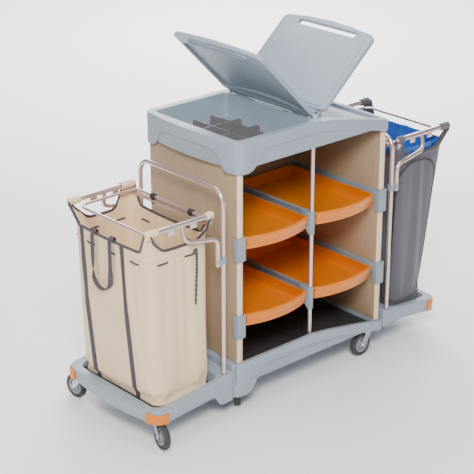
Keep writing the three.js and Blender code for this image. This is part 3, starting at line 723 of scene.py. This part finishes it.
def make_clamps(side, sign, lift):
    """The blocks that hold the arms to the push handle, and the ring's two hinge clips."""
    bm = bmesh.new()
    for end in (-1, 1):
        low, high = sorted((sign * 447, sign * 468))
        y = end * ARM_Y
        solid_block(bm, at(low, y - 11, 619 + lift), at(high, y + 11, 641 + lift), 0.003)
        lathe(bm, [(0.0095, -0.011), (0.0135, -0.011), (0.0135, 0.011), (0.0095, 0.011)],
              at(sign * 436, end * 230, 630 + lift), Vector((0, 0, 1)), 24)
    name = f"arm_clamps_{side}"
    add_piece(name, close(bm, name), CLIP_GREY, "cart")
    bm = bmesh.new()
    for y in (-118, 92):
        profile = [(0.0069, -0.011), (0.0105, -0.011), (0.0105, 0.011), (0.0069, 0.011)]
        lathe(bm, profile, at(sign * RING["x"], y, RING["z"] + lift), Vector((0, 1, 0)), 24)
        low, high = sorted((sign * 479, sign * 493))
        solid_block(bm, at(low, y - 9, 766 + lift), at(high, y + 9, 785 + lift), 0.002)
    name = f"ring_clips_{side}"
    add_piece(name, close(bm, name), DARK, "cart")


def make_ring(side, sign, lift):
    """The bail that holds the mouth of the sack open, with its hinge barrel."""
    z, near, far = RING["z"] + lift, sign * RING["x"], sign * 744
    corners = [at(near, -196, z), at(far, -196, z), at(far, 196, z), at(near, 196, z)]
    bm = bmesh.new()
    sweep_section(bm, rounded_route(corners, 0.04, 12), round_section(0.0055, 18))
    barrel = [at(near, -200, z), at(near, 200, z)]
    sweep_section(bm, barrel, round_section(0.0063, 20))
    name = f"bag_ring_{side}_bail"
    body = f"bag_ring_{side}"
    add_piece(name, close(bm, name), TUBE, body, (body,))


# ---- casters ----
WHEEL_RADIUS, WHEEL_HALF_WIDTH = 0.048, 0.013
CASTER_NAMES = [
    "front_left", "front_right", "back_left", "back_right", "platform_front", "platform_back",
]


def caster_frame(name):
    """The swivel's pivot, the way the wheel trails, the axle's direction and its centre."""
    joints = {joint["name"]: joint for joint in frame["joints"]}
    pivot = Vector(joints[f"caster_{name}_swivel_joint"]["pos_m"])
    wheel = joints[f"caster_{name}_wheel_joint"]
    centre = Vector(wheel["pos_m"])
    trail = Vector((centre.x - pivot.x, centre.y - pivot.y, 0)).normalized()
    return pivot, trail, Vector(wheel["axis"]).normalized(), centre


def tread_profile(radius, half):
    """The tyre's section: flat tread with two grooves, round shoulders, a narrow bead."""
    bead = 0.0334
    shoulder = [
        (radius - 0.0005, 0.0075), (radius - 0.002, 0.0104), (radius - 0.0055, 0.0126),
        (radius - 0.0095, half), (bead + 0.002, half - 0.0012), (bead, half - 0.0022),
    ]
    tread = [(radius, 0.0012), (radius, 0.0032), (radius - 0.0012, 0.0038),
             (radius - 0.0012, 0.0046), (radius, 0.0052)]
    upper = tread + shoulder
    return upper + [(r, -h) for r, h in reversed(upper)]


def hub_profile(half):
    """The hub: a bore, a raised boss, a dished web and a rim that the tyre sits on."""
    upper = [(0.0056, half + 0.0004), (0.0125, half + 0.0004), (0.014, half - 0.001),
             (0.0145, 0.0052), (0.0262, 0.0045), (0.0275, half - 0.003), (0.029, half - 0.0018),
             (0.0318, half - 0.0018), (0.0328, half - 0.003)]
    return upper + [(r, -h) for r, h in reversed(upper)]


def make_wheel(name, trail, axis, centre):
    body = f"caster_{name}_wheel"
    half = WHEEL_HALF_WIDTH
    bm = bmesh.new()
    lathe(bm, tread_profile(WHEEL_RADIUS, half), centre, axis, 56)
    add_piece(f"{name}_tyre_tread", close(bm, name), RUBBER, body,
              (f"caster_{name}_tyre",))
    bm = bmesh.new()
    lathe(bm, hub_profile(half), centre, axis, 40)
    up = Vector((0, 0, 1))
    for k in range(5):
        angle = 2 * math.pi * k / 5
        outward = trail * math.cos(angle) + up * math.sin(angle)
        across = axis.cross(outward)
        for face in (-1, 1):
            spoke = [outward * 0.0135, outward * 0.0285]
            route = [centre + p + axis * face * 0.0078 for p in spoke]
            section = [(-0.0016, -0.0022), (0.0016, -0.0022), (0.0012, 0.0022), (-0.0012, 0.0022)]
            sweep_section(bm, route, section, across)
    add_piece(f"{name}_hub_spoked", close(bm, name), HUB, body,
              (f"caster_{name}_hub",))


def cheek_outline():
    """The fork's cheek seen from the side: (along the trail, height) in mm."""
    outline = [(-13, 104), (-9, 92), (8, 62)]
    for k in range(9):
        angle = math.radians(207 + 180 * k / 8 * 0.87)
        outline.append((34 + 9.5 * math.cos(angle), 48 + 9.5 * math.sin(angle)))
    return outline + [(38, 64), (24, 88), (17, 104)]


def make_fork(name, pivot, trail, axis, centre):
    body = f"caster_{name}_swivel"
    ground = Vector((pivot.x, pivot.y, 0))
    bm = bmesh.new()

    def place(along, across, height):
        return ground + (trail * along + axis * across) * MM + Vector((0, 0, height * MM))

    for face in (-1, 1):
        rings = [
            [bm.verts.new(place(a, face * (15.5 + deep), h)) for a, h in cheek_outline()]
            for deep in (0, 2.6)
        ]
        prism(bm, rings)
    crown = [(15, 103.6), (18.1, 103.6), (18.1, 107), (9, 108.4), (0.2, 108.4), (0.2, 103.6)]
    lathe(bm, [(r * MM, h * MM) for r, h in crown], ground, Vector((0, 0, 1)), 32)
    races = [(0.2, 107), (17.5, 107.2), (19.6, 108.2), (19.6, 110.6), (17.2, 111.2),
             (17.2, 112.4), (19.2, 113), (19.2, 116.6), (17.6, 117.5), (0.2, 117.5)]
    lathe(bm, [(r * MM, h * MM) for r, h in races], ground, Vector((0, 0, 1)), 36)
    bolt = [(0.0002, -0.0192), (0.0044, -0.0192), (0.0044, 0.0192), (0.0002, 0.0192)]
    lathe(bm, bolt, centre, axis, 20)
    for face in (-1, 1):
        head = [(0.0002, 0.0181), (0.0082, 0.0181), (0.0082, 0.0212), (0.0068, 0.0226),
                (0.0002, 0.0226)]
        lathe(bm, [(r, face * h) for r, h in head], centre, axis, 6)
    add_piece(f"{name}_fork_pressed", close(bm, name), STEEL, body,
              (f"caster_{name}_fork",), 30)


def make_casters():
    for name in CASTER_NAMES:
        pivot, trail, axis, centre = caster_frame(name)
        make_fork(name, pivot, trail, axis, centre)
        make_wheel(name, trail, axis, centre)


# ---- bags ----
class Sack:
    """The wall of one bag as a grid of points: columns go round it, rows go up it.

    Sizes are the cart's millimetres. The bag is drawn for the +X end and mirrored by sign.
    """
    floor, rim, bar = 131, 738, BAR["z"]
    lower_rows, upper_rows = 44, 12
    side_columns, end_columns, corner_columns = 30, 46, 9

    def __init__(self, name, sign, lift, far, tabs):
        self.name, self.sign, self.lift, self.far, self.tabs = name, sign, lift, far, tabs
        self.columns = self.make_columns()
        self.points = None

    def make_columns(self):
        """Where each column is: the run of the outline it belongs to, and how far along it."""
        runs = [
            ("far", self.end_columns), ("far_back", self.corner_columns),
            ("back", self.side_columns), ("near_back", self.corner_columns),
            ("near", self.end_columns), ("near_front", self.corner_columns),
            ("front", self.side_columns), ("far_front", self.corner_columns),
        ]
        return [(run, k / count) for run, count in runs for k in range(count)]

    def shape(self, z):
        """Near face, far face, half depth and corner radius of the outline at one height."""
        t = (z - self.floor) / (self.rim + self.lift - self.floor)
        flare = ease(share_of((z - self.lift - 722) / 80))
        near = 482 + 4 * t - 9 * flare
        far = self.far[0] + (self.far[1] - self.far[0]) * t + 10 * flare
        half = 220 - 8 * t + 18 * flare
        foot = max(0, 1 - (z - self.floor) / 14) ** 2 * 9
        return near + foot, far - foot, half - foot, 42 - 26 * flare

    def outline(self, column, z):
        run, t = column
        near, far, half, radius = self.shape(z)
        if run == "far":
            return far, (radius - half) + t * 2 * (half - radius)
        if run == "near":
            return near, (half - radius) - t * 2 * (half - radius)
        if run == "back":
            return (far - radius) - t * (far - near - 2 * radius), half
        if run == "front":
            return (near + radius) + t * (far - near - 2 * radius), -half
        centre_x = far - radius if run.startswith("far") else near + radius
        centre_y = half - radius if run.endswith("back") else radius - half
        start = {"far_back": 0, "near_back": 90, "near_front": 180, "far_front": 270}[run]
        angle = math.radians(start + 90 * t)
        return centre_x + radius * math.cos(angle), centre_y + radius * math.sin(angle)

    def rim_height(self, column):
        """The rim dips between the corners, and climbs to the bars at them."""
        run, t = column
        low, high = self.rim + self.lift, self.bar + self.lift + 3
        near, far, half, radius = self.shape(high)
        x, y = self.outline(column, self.rim + self.lift)
        if run in ("far", "near"):
            distance, fade = half - 24 - abs(y), 44
        elif run in ("front", "back"):
            outer, inner = self.tabs[run]
            distance = min(far - outer - x, x - near - inner)
            fade = 36
        else:
            return high
        open_part = share_of(distance / fade)
        sag = 5 * math.sin(math.pi * t) if open_part == 1 else 0
        return low - sag + (high - low) * (1 - open_part) ** 2.2

    def build(self):
        start = self.rim + self.lift - 48
        levels = [self.floor, self.floor + 2, self.floor + 6, self.floor + 12]
        first = levels[-1]
        levels += [
            first + (start - first) * k / self.lower_rows for k in range(1, self.lower_rows + 1)
        ]
        grid = []
        for z in levels:
            grid.append([(*self.outline(c, z), z) for c in self.columns])
        for k in range(1, self.upper_rows + 1):
            row = []
            for column in self.columns:
                z = start + (self.rim_height(column) - start) * k / self.upper_rows
                row.append((*self.outline(column, z), z))
            grid.append(row)
        self.points = [[at(self.sign * x, y, z) for x, y, z in row] for row in grid]
        return self

    def at_height(self, column, z):
        """The wall's point in one column at a height in millimetres, and its outward normal."""
        count = len(self.columns)
        line = [row[column % count] for row in self.points]
        for low, high in zip(line, line[1:]):
            if high.z >= z * MM:
                share = (z * MM - low.z) / max(high.z - low.z, 1e-6)
                point = low.lerp(high, share_of(share))
                break
        else:
            point = line[-1]
        row = min(range(len(line)), key=lambda k: abs(line[k].z - point.z))
        before = self.points[row][(column - 1) % count]
        after = self.points[row][(column + 1) % count]
        normal = (after - before).cross(heading(line, row)).normalized() * self.sign
        return point, normal

    def first_column(self, run):
        return next(i for i, column in enumerate(self.columns) if column[0] == run)


def sack_mesh(sack, name):
    """The wall as an open sheet, wound so that its normals face out."""
    count = len(sack.columns)
    faces = []
    for j in range(len(sack.points) - 1):
        for i in range(count):
            k = (i + 1) % count
            quad = (j * count + i, j * count + k, (j + 1) * count + k, (j + 1) * count + i)
            faces.append(quad if sack.sign > 0 else quad[::-1])
    return mesh_of(name, [p for row in sack.points for p in row], faces)


def sack_floor(name, ring, material, thickness=0.002):
    """The stiffened panel in the bottom, as wide as the ring of points round it."""
    bm = bmesh.new()
    centre = sum(ring, Vector()) / len(ring)
    low = [bm.verts.new(centre.lerp(p, 0.997)) for p in ring]
    high = [bm.verts.new(v.co + Vector((0, 0, thickness))) for v in low]
    prism(bm, [low, high])
    return add_piece(name, close(bm, name), material, "cart")


def settle_sack(sack, frames=22, swell=0.35, reach=13):
    """Lets the wall hang by cloth simulation, with its horns and its floor held in place.

    reach caps how far a point may move, in millimetres.
    """
    mesh = sack_mesh(sack, f"{sack.name}_cloth")
    cloth = bpy.data.objects.new(f"{sack.name}_cloth", mesh)
    bpy.context.scene.collection.objects.link(cloth)
    count, rows = len(sack.columns), len(sack.points)
    group = cloth.vertex_groups.new(name="held")
    for j in range(rows):
        for i in range(count):
            low = max(0.0, 1 - j / 5)
            high = 1.0 if j == rows - 1 else 0.0
            horn = (sack.points[j][i].z / MM - sack.lift - 752) / 40
            weight = min(max(low, horn, high * 0.9), 1)
            if weight > 0:
                group.add([j * count + i], weight, "REPLACE")
    modifier = cloth.modifiers.new("cloth", "CLOTH")
    setup = modifier.settings
    setup.quality = 6
    setup.mass = 0.25
    setup.tension_stiffness = setup.compression_stiffness = 25
    setup.shear_stiffness = 12
    setup.bending_stiffness = 3
    setup.vertex_group_mass = "held"
    setup.pin_stiffness = 3
    setup.shrink_min = -0.012
    setup.use_pressure = True
    setup.uniform_pressure_force = swell
    modifier.collision_settings.use_collision = False
    scene = bpy.context.scene
    modifier.point_cache.frame_start, modifier.point_cache.frame_end = 1, frames
    for frame_number in range(1, frames + 1):
        scene.frame_set(frame_number)
    graph = bpy.context.evaluated_depsgraph_get()
    settled = cloth.evaluated_get(graph).data
    for j in range(rows):
        for i in range(count):
            start = sack.points[j][i]
            moved = settled.vertices[j * count + i].co - start
            if moved.length > reach * MM:
                moved *= reach * MM / moved.length
            sack.points[j][i] = start + moved
    bpy.data.objects.remove(cloth)
    scene.frame_set(1)


def crease_sack(sack, depth=1.6):
    """Soft upright folds that start at the horns and fade down the wall."""
    count = len(sack.columns)
    moved = []
    for row in sack.points:
        line = []
        for i, point in enumerate(row):
            after, before = row[(i + 1) % count], row[(i - 1) % count]
            normal = (after - before).cross(Vector((0, 0, 1))).normalized() * sack.sign
            height = (point.z / MM - sack.lift - 300) / 440
            fold = noise.noise(Vector((point.x * 22, point.y * 22, point.z * 2.2)))
            broad = noise.noise(Vector((point.x * 6, point.y * 6, point.z * 4 + 7)))
            amount = depth * fold * min(max(height, 0.15), 1) + 1.8 * broad
            line.append(point + normal * amount * MM)
        moved.append(line)
    sack.points = moved


def cloth_piece(name, mesh, material, replaces=(), thickness=1.6):
    piece = add_piece(name, mesh, material, "cart", replaces, 0)
    subdivide_once(piece)
    solid = piece.modifiers.new("thickness", "SOLIDIFY")
    solid.thickness = thickness * MM
    solid.offset = -1
    apply_modifiers(piece)
    piece.data.shade_smooth()
    return piece


def ribbon(bm, rows, thickness):
    """A flat band from rows of (left point, right point, outward normal)."""
    rings = []
    for left, right, normal in rows:
        lift = normal * thickness
        corners = (left, right, right + lift, left + lift)
        rings.append([bm.verts.new(corner) for corner in corners])
    prism(bm, rings)


def along_wall(sack, route, width, lift=0.0008):
    """Rows for a ribbon that lies on the wall along (run, x or y, z) stations in millimetres."""
    centres, normals = [], []
    for run, place, z in route:
        near, far, half, radius = sack.shape(z)
        if run in ("far", "near"):
            share = (place + half - radius) / (2 * (half - radius))
            share = share if run == "far" else 1 - share
        else:
            share = (place - near - radius) / (far - near - 2 * radius)
            share = share if run == "front" else 1 - share
        columns = sack.end_columns if run in ("far", "near") else sack.side_columns
        position = sack.first_column(run) + share * columns
        a, b = math.floor(position), math.floor(position) + 1
        (pa, na), (pb, nb) = sack.at_height(a, z), sack.at_height(b, z)
        normal = na.lerp(nb, position - a).normalized()
        centres.append(pa.lerp(pb, position - a) + normal * lift)
        normals.append(normal)
    rows = []
    for k, (centre, normal) in enumerate(zip(centres, normals)):
        across = normal.cross(heading(centres, k)).normalized() * width / 2
        rows.append((centre - across, centre + across, normal))
    return rows


def wall_strap(sack, name, run, start, end, width, steps=40, thickness=0.0016):
    """A webbing strap sewn up the wall, from start to end, each (place, height) in mm."""
    route = [
        (run, start[0] + (end[0] - start[0]) * k / steps, start[1] + (end[1] - start[1]) * k / steps)
        for k in range(steps + 1)
    ]
    bm = bmesh.new()
    ribbon(bm, along_wall(sack, route, width * MM), thickness)
    return add_piece(name, close(bm, name), WEBBING, "cart")


def rim_binding(sack, name, material):
    """The dark tape folded over the rim in each dip, from horn to horn."""
    count = len(sack.columns)
    top = sack.points[-1]
    limit = (sack.bar + sack.lift - 6) * MM
    low = [p.z < limit for p in top]
    starts = [i for i in range(count) if low[i] and not low[i - 1]]
    bm = bmesh.new()
    for start in starts:
        route = [top[start - 1]]
        i = start
        while low[i % count]:
            route.append(top[i % count])
            i += 1
        route.append(top[i % count])
        down = Vector((0, 0, -0.003))
        section = [(-0.0026, -0.005), (0.0026, -0.005), (0.0029, 0.0035), (0, 0.005),
                   (-0.0029, 0.0035)]
        rings = []
        for k, point in enumerate(route):
            ahead = heading(route, k).normalized()
            level = Vector((ahead.x, ahead.y, 0))
            across = Vector((ahead.y, -ahead.x, 0)).normalized() if level.length > 1e-4 else across
            rise = across.cross(ahead).normalized()
            rise = rise if rise.z > 0 else -rise
            rings.append([bm.verts.new(point + down + across * a + rise * b) for a, b in section])
        prism(bm, rings)
    return add_piece(name, close(bm, name), material, "cart")


def horn_sleeves(sack, name, material):
    """The folded sleeves that slip over the ends of both bars, closed at the outer tip."""
    bm = bmesh.new()
    for end, run in ((-1, "front"), (1, "back")):
        outer, inner = sack.tabs[run]
        for tip, mouth in ((775, 775 - outer), (475, 475 + inner)):
            sleeve(bm, sack, end, tip, mouth)
    piece = add_piece(name, close(bm, name), material, "cart", (), 60)
    subdivide_once(piece)
    apply_modifiers(piece)
    piece.data.shade_smooth()
    return piece


def sleeve(bm, sack, end, tip, mouth):
    """One sleeve: a lumpy tube round the bar from its domed tip to its hemmed mouth."""
    sides = 20
    length = mouth - tip
    stations = [(-0.03, 3), (-0.01, 9.5), (0.05, 13.2), (0.2, 14.6), (0.4, 13.8), (0.62, 14.2),
                (0.82, 13.2), (0.96, 13.8), (1.0, 13.4), (1.0, 11.0), (0.9, 10.6)]
    rings = []
    for share, radius in stations:
        x = tip + length * share
        ring = []
        for k in range(sides):
            angle = 2 * math.pi * k / sides
            lump = 1 + 0.06 * noise.noise(Vector((x * 0.06, angle * 1.7, end * 3 + sack.sign)))
            droop = 1.2 if math.sin(angle) < -0.5 and share > 0 else 0
            ring.append(bm.verts.new(at(
                sack.sign * x,
                end * BAR["y"] + radius * lump * math.cos(angle),
                sack.bar + sack.lift + radius * lump * math.sin(angle) - droop,
            )))
        rings.append(ring)
    skin(bm, rings)
    bm.faces.new(rings[0])


def horn_studs(sack, name):
    """A press stud with a domed head on each outer horn, just under the bar."""
    bm = bmesh.new()
    dome = [(0.0001, 0.0026), (0.0034, 0.0021), (0.0052, 0.0009), (0.0056, -0.001),
            (0.0001, -0.001)]
    for run, share in (("far_front", 0.3), ("far_back", 0.7), ("near_front", 0.7),
                       ("near_back", 0.3)):
        column = sack.first_column(run) + round(share * sack.corner_columns)
        point, normal = sack.at_height(column, sack.bar + sack.lift - 20)
        lathe(bm, dome, point + normal * 0.001, normal, 20)
    return add_piece(name, close(bm, name), STEEL, "cart", (), 50)


def drawstring_dashes(sack, name, height, material):
    """The cord in the hem: it shows outside and inside the wall by turns."""
    perimeter = []
    count = len(sack.columns)
    total = 0.0
    for i in range(count + 1):
        point, normal = sack.at_height(i, height)
        if perimeter:
            total += (point - perimeter[-1][1]).length
        perimeter.append((total, point, normal))
    stitches = round(total / 0.122)
    pitch = total / stitches
    bm = bmesh.new()
    for k in range(2 * stitches):
        face = 1 if k % 2 == 0 else -1
        start = (k / 2) * pitch + 0.006
        stop = start + pitch * 0.5 - 0.012
        run = [item for item in perimeter if start <= item[0] <= stop]
        if len(run) < 3:
            continue
        lift = 0.0016 if face > 0 else -0.0036
        route = [p + n * lift for _, p, n in run]
        route = [route[0] - run[0][2] * face * 0.0016, *route, route[-1] - run[-1][2] * face * 0.0016]
        flat = [(a * 0.0038, b * 0.0016) for a, b in round_section(1, 10)]
        sweep_section(bm, route, flat, Vector((0, 0, 1)))
    return add_piece(name, close(bm, name), material, "cart")


def hem_stitching(sack, name, heights, material):
    """Fine stitch lines round the hem channel, one ridge for each height."""
    bm = bmesh.new()
    count = len(sack.columns)
    for height in heights:
        route = []
        for i in range(count + 1):
            point, normal = sack.at_height(i, height)
            route.append(point + normal * 0.0002)
        section = [(a * 0.0007, b * 0.0007) for a, b in round_section(1, 6)]
        sweep_section(bm, route, section, Vector((0, 0, 1)), False)
    return add_piece(name, close(bm, name), material, "cart")


def zip_line(sack, name):
    """The arched zip of the grey bag: a dark tape with a ridge of teeth along its middle."""
    left, top, bottom, side = 500, 752, 172, 30
    crown = 92

    def right(z):
        return sack.shape(z)[1] - side

    route = [("front", left - 4 * (1 - z / top), z) for z in range(bottom, top - crown, 12)]
    shoulder = top - crown
    centre = (left + right(shoulder)) / 2
    half = (right(shoulder) - left) / 2
    for k in range(25):
        angle = math.pi - math.pi * k / 24
        squared = math.copysign(abs(math.cos(angle)) ** 0.8, math.cos(angle))
        route.append(("front", centre + half * squared, shoulder + crown * math.sin(angle) ** 0.8))
    route += [("front", right(z), z) for z in range(shoulder - 12, bottom, -12)]
    bm = bmesh.new()
    ribbon(bm, along_wall(sack, route, 0.009), 0.0012)
    add_piece(name, close(bm, name), BINDING, "cart")
    bm = bmesh.new()
    ribbon(bm, along_wall(sack, route, 0.0034, 0.0016), 0.0014)
    add_piece(f"{name}_teeth", close(bm, f"{name}_teeth"), TEETH, "cart")


def liner_sheet(sack):
    """The film inside the grey bag: close to the wall, creased, and standing above the rim."""
    floor, inset, rows = 326, 8, 40
    top = sack.rim + sack.lift + 20
    count = len(sack.columns)
    wall_top = sack.rim + sack.lift - 12
    vertices, faces = [], []
    for j in range(rows + 1):
        z = floor + (top - floor) * j / rows
        for i in range(count):
            point, normal = sack.at_height(i, min(z, wall_top))
            point = point.copy()
            angle = 2 * math.pi * i / count
            crease = noise.noise(Vector((math.cos(angle) * 7, math.sin(angle) * 7, z * 0.006)))
            fine = noise.noise(Vector((math.cos(angle) * 26, math.sin(angle) * 26, z * 0.012)))
            depth = inset + 3.5 * crease + 1.6 * fine
            wave = 5 * noise.noise(Vector((math.cos(angle) * 4, math.sin(angle) * 4, 9)))
            point -= normal * depth * MM
            point.z = (z + wave * (j / rows) ** 4) * MM
            vertices.append(point)
    for j in range(rows):
        for i in range(count):
            k = (i + 1) % count
            faces.append((j * count + i, j * count + k, (j + 1) * count + k, (j + 1) * count + i))
    mesh = mesh_of("liner", vertices, faces)
    sack_floor("bag_liner_base", vertices[:count], FILM, 0.001)
    cloth_piece("bag_liner_film", mesh, FILM, ("bag_liner_right",), 0.5)


def make_bags():
    beige = Sack("bag_left", -1, 0, (740, 764), {"front": (50, 34), "back": (50, 66)}).build()
    grey = Sack("bag_right", 1, 54, (664, 764), {"front": (50, 34), "back": (50, 50)}).build()
    for sack in (beige, grey):
        crease_sack(sack)
        settle_sack(sack)
    looks = ((beige, BEIGE_CLOTH, "beige_fabric"), (grey, GREY_CLOTH, "grey_fabric"))
    for sack, cloth, slot in looks:
        name = sack.name
        cloth_piece(f"{name}_wall", sack_mesh(sack, f"{name}_wall"), cloth, (name,))
        sack_floor(f"{name}_base", sack.points[0], cloth)
        horn_studs(sack, f"{name}_studs")
        rim_binding(sack, f"{name}_binding", BINDING)
        horn_sleeves(sack, f"{name}_horns", cloth)
    drawstring_dashes(beige, "bag_left_drawstring", 684, WEBBING)
    hem_stitching(beige, "bag_left_hem", (672, 700), BEIGE_THREAD)
    hem_stitching(grey, "bag_right_hem", (756,), GREY_THREAD)
    wall_strap(beige, "bag_left_strap_back", "far", (160, 741), (116, 140), 24)
    wall_strap(beige, "bag_left_strap_front", "far", (-74, 735), (-112, 140), 24)
    zip_line(grey, "bag_right_zip")
    liner_sheet(grey)


# ---- the webbing loop and the drawstring's tail, which hang free ----
LOOP_HALF_WIDTH = 0.0093


def handle_loop():
    x, sides, top, bottom = -779, (-22, 78), 720, 534
    centre, half = sum(sides) / 2, (sides[1] - sides[0]) / 2
    points = [at(x, sides[0], top)]
    for k in range(7):
        angle = math.pi + math.pi * k / 6
        points.append(at(x, centre + half * math.cos(angle),
                         bottom + half + half * math.sin(angle)))
    points.append(at(x, sides[1], top))
    route = smooth_route(points)
    bm = bmesh.new()
    rows = []
    for k, point in enumerate(route):
        ahead = heading(route, k).normalized()
        share = ease(share_of((point.z / MM - bottom) / 110))
        outward = Vector((-1, 0, 0))
        level = ahead.cross(outward).normalized()
        across = (outward * (1 - share) + level * share).normalized()
        normal = across.cross(ahead).normalized()
        base = point - normal * 0.0009
        half_across = across * LOOP_HALF_WIDTH
        rows.append((base - half_across, base + half_across, normal))
    ribbon(bm, rows, 0.0018)
    piece = add_piece("bag_handle_loop", close(bm, "bag_handle_loop"), WEBBING, "cart",
                      ("handle_loop",))


def loop_ends():
    """The loop's two ends, which run up from its hanging part over the rim and are sewn inside."""
    for name, y in (("front", -22), ("back", 78)):
        route = smooth_route([at(-779, y, 719), at(-777, y, 731), at(-770, y, 742),
                              at(-763, y, 745), at(-757, y, 738), at(-755, y, 712)], 5)
        bm = bmesh.new()
        rows = []
        for k, point in enumerate(route):
            ahead = heading(route, k).normalized()
            across = Vector((0, LOOP_HALF_WIDTH, 0))
            rows.append((point - across, point + across, ahead.cross(Vector((0, 1, 0)))))
        ribbon(bm, rows, 0.0016)
        add_piece(f"loop_end_{name}", close(bm, name), WEBBING, "cart")


def drawstring_tail():
    points = [at(-560, -230, 704), at(-563, -236, 670), at(-567, -238, 600), at(-572, -238, 505)]
    route = smooth_route(points, 20)
    bm = bmesh.new()
    turns, strand = 8, 0.0024
    frames = frames_along(route, Vector((1, 0, 0)))
    for half_turn in (0, math.pi):
        line = []
        for k, (point, (side, up)) in enumerate(zip(route, frames)):
            angle = half_turn + 2 * math.pi * turns * k / (len(route) - 1)
            line.append(point + (side * math.cos(angle) + up * math.sin(angle)) * strand)
        sweep_section(bm, line, round_section(0.0025, 10))
    piece = add_piece("drawstring_twist", close(bm, "drawstring_twist"), WEBBING, "cart",
                      ("drawstring_tail",))
    knots = bmesh.new()
    for place, size in ((route[0] + Vector((0, 0.001, 0)), 1.0), (route[-1], 0.7)):
        for tilt in (0.4, 1.7, 2.6):
            axis = Vector((math.cos(tilt), 0.5, math.sin(tilt))).normalized()
            ring = []
            for n in range(17):
                angle = 2 * math.pi * n / 16
                side = axis.orthogonal().normalized()
                up = axis.cross(side)
                ring.append(place + (side * math.cos(angle) + up * math.sin(angle)) * 0.0042 * size)
            sweep_section(knots, ring, round_section(0.0024 * size, 8))
    stub = smooth_route([at(-560, -211, 688), at(-560, -219, 697), at(-560, -229, 703)], 6)
    sweep_section(knots, stub, round_section(0.0028, 8))
    knot = add_piece("drawstring_knots", close(knots, "drawstring_knots"), WEBBING, "cart")


# ---- stage ----
def make_floor():
    bm = bmesh.new()
    bmesh.ops.create_grid(bm, x_segments=1, y_segments=1, size=14)
    mesh = bpy.data.meshes.new("studio_floor")
    bm.to_mesh(mesh)
    bm.free()
    floor = bpy.data.objects.new("studio_floor", mesh)
    bpy.context.scene.collection.objects.link(floor)
    mesh.materials.append(Paint("studio_floor", (0.97, 0.97, 0.97, 1), 0.9).material)


def area_light(name, place, target, size, watts, colour=(1, 1, 1)):
    data = bpy.data.lights.new(name, "AREA")
    data.shape = "RECTANGLE"
    data.size, data.size_y = size
    data.energy = watts
    data.color = colour
    light = bpy.data.objects.new(name, data)
    bpy.context.scene.collection.objects.link(light)
    light.location = place
    light.rotation_euler = (Vector(target) - Vector(place)).to_track_quat("-Z", "Y").to_euler()


def make_lights():
    area_light("key", (-3.0, -3.3, 4.0), (0, 0, 0.5), (1.7, 1.5), 340)
    area_light("side_fill", (-4.6, -0.6, 2.2), (0, 0, 0.6), (2.4, 2.4), 30)
    area_light("top", (0.3, 0.4, 4.2), (0, 0, 0.6), (3.0, 3.0), 125)
    area_light("backdrop", (3.4, 3.9, 3.0), (3.0, 3.4, 0), (4.5, 4.5), 560)
    world = bpy.data.worlds.new("studio")
    world.use_nodes = True
    background = world.node_tree.nodes["Background"]
    background.inputs["Color"].default_value = (1, 1, 1, 1)
    background.inputs["Strength"].default_value = 0.3
    bpy.context.scene.world = world


make_camera()
handle_loop()
drawstring_tail()
make_cabinet()
make_trays()
make_lids()
make_platforms()
make_arches()
make_frames()
make_casters()
make_bags()
loop_ends()
make_floor()
make_lights()
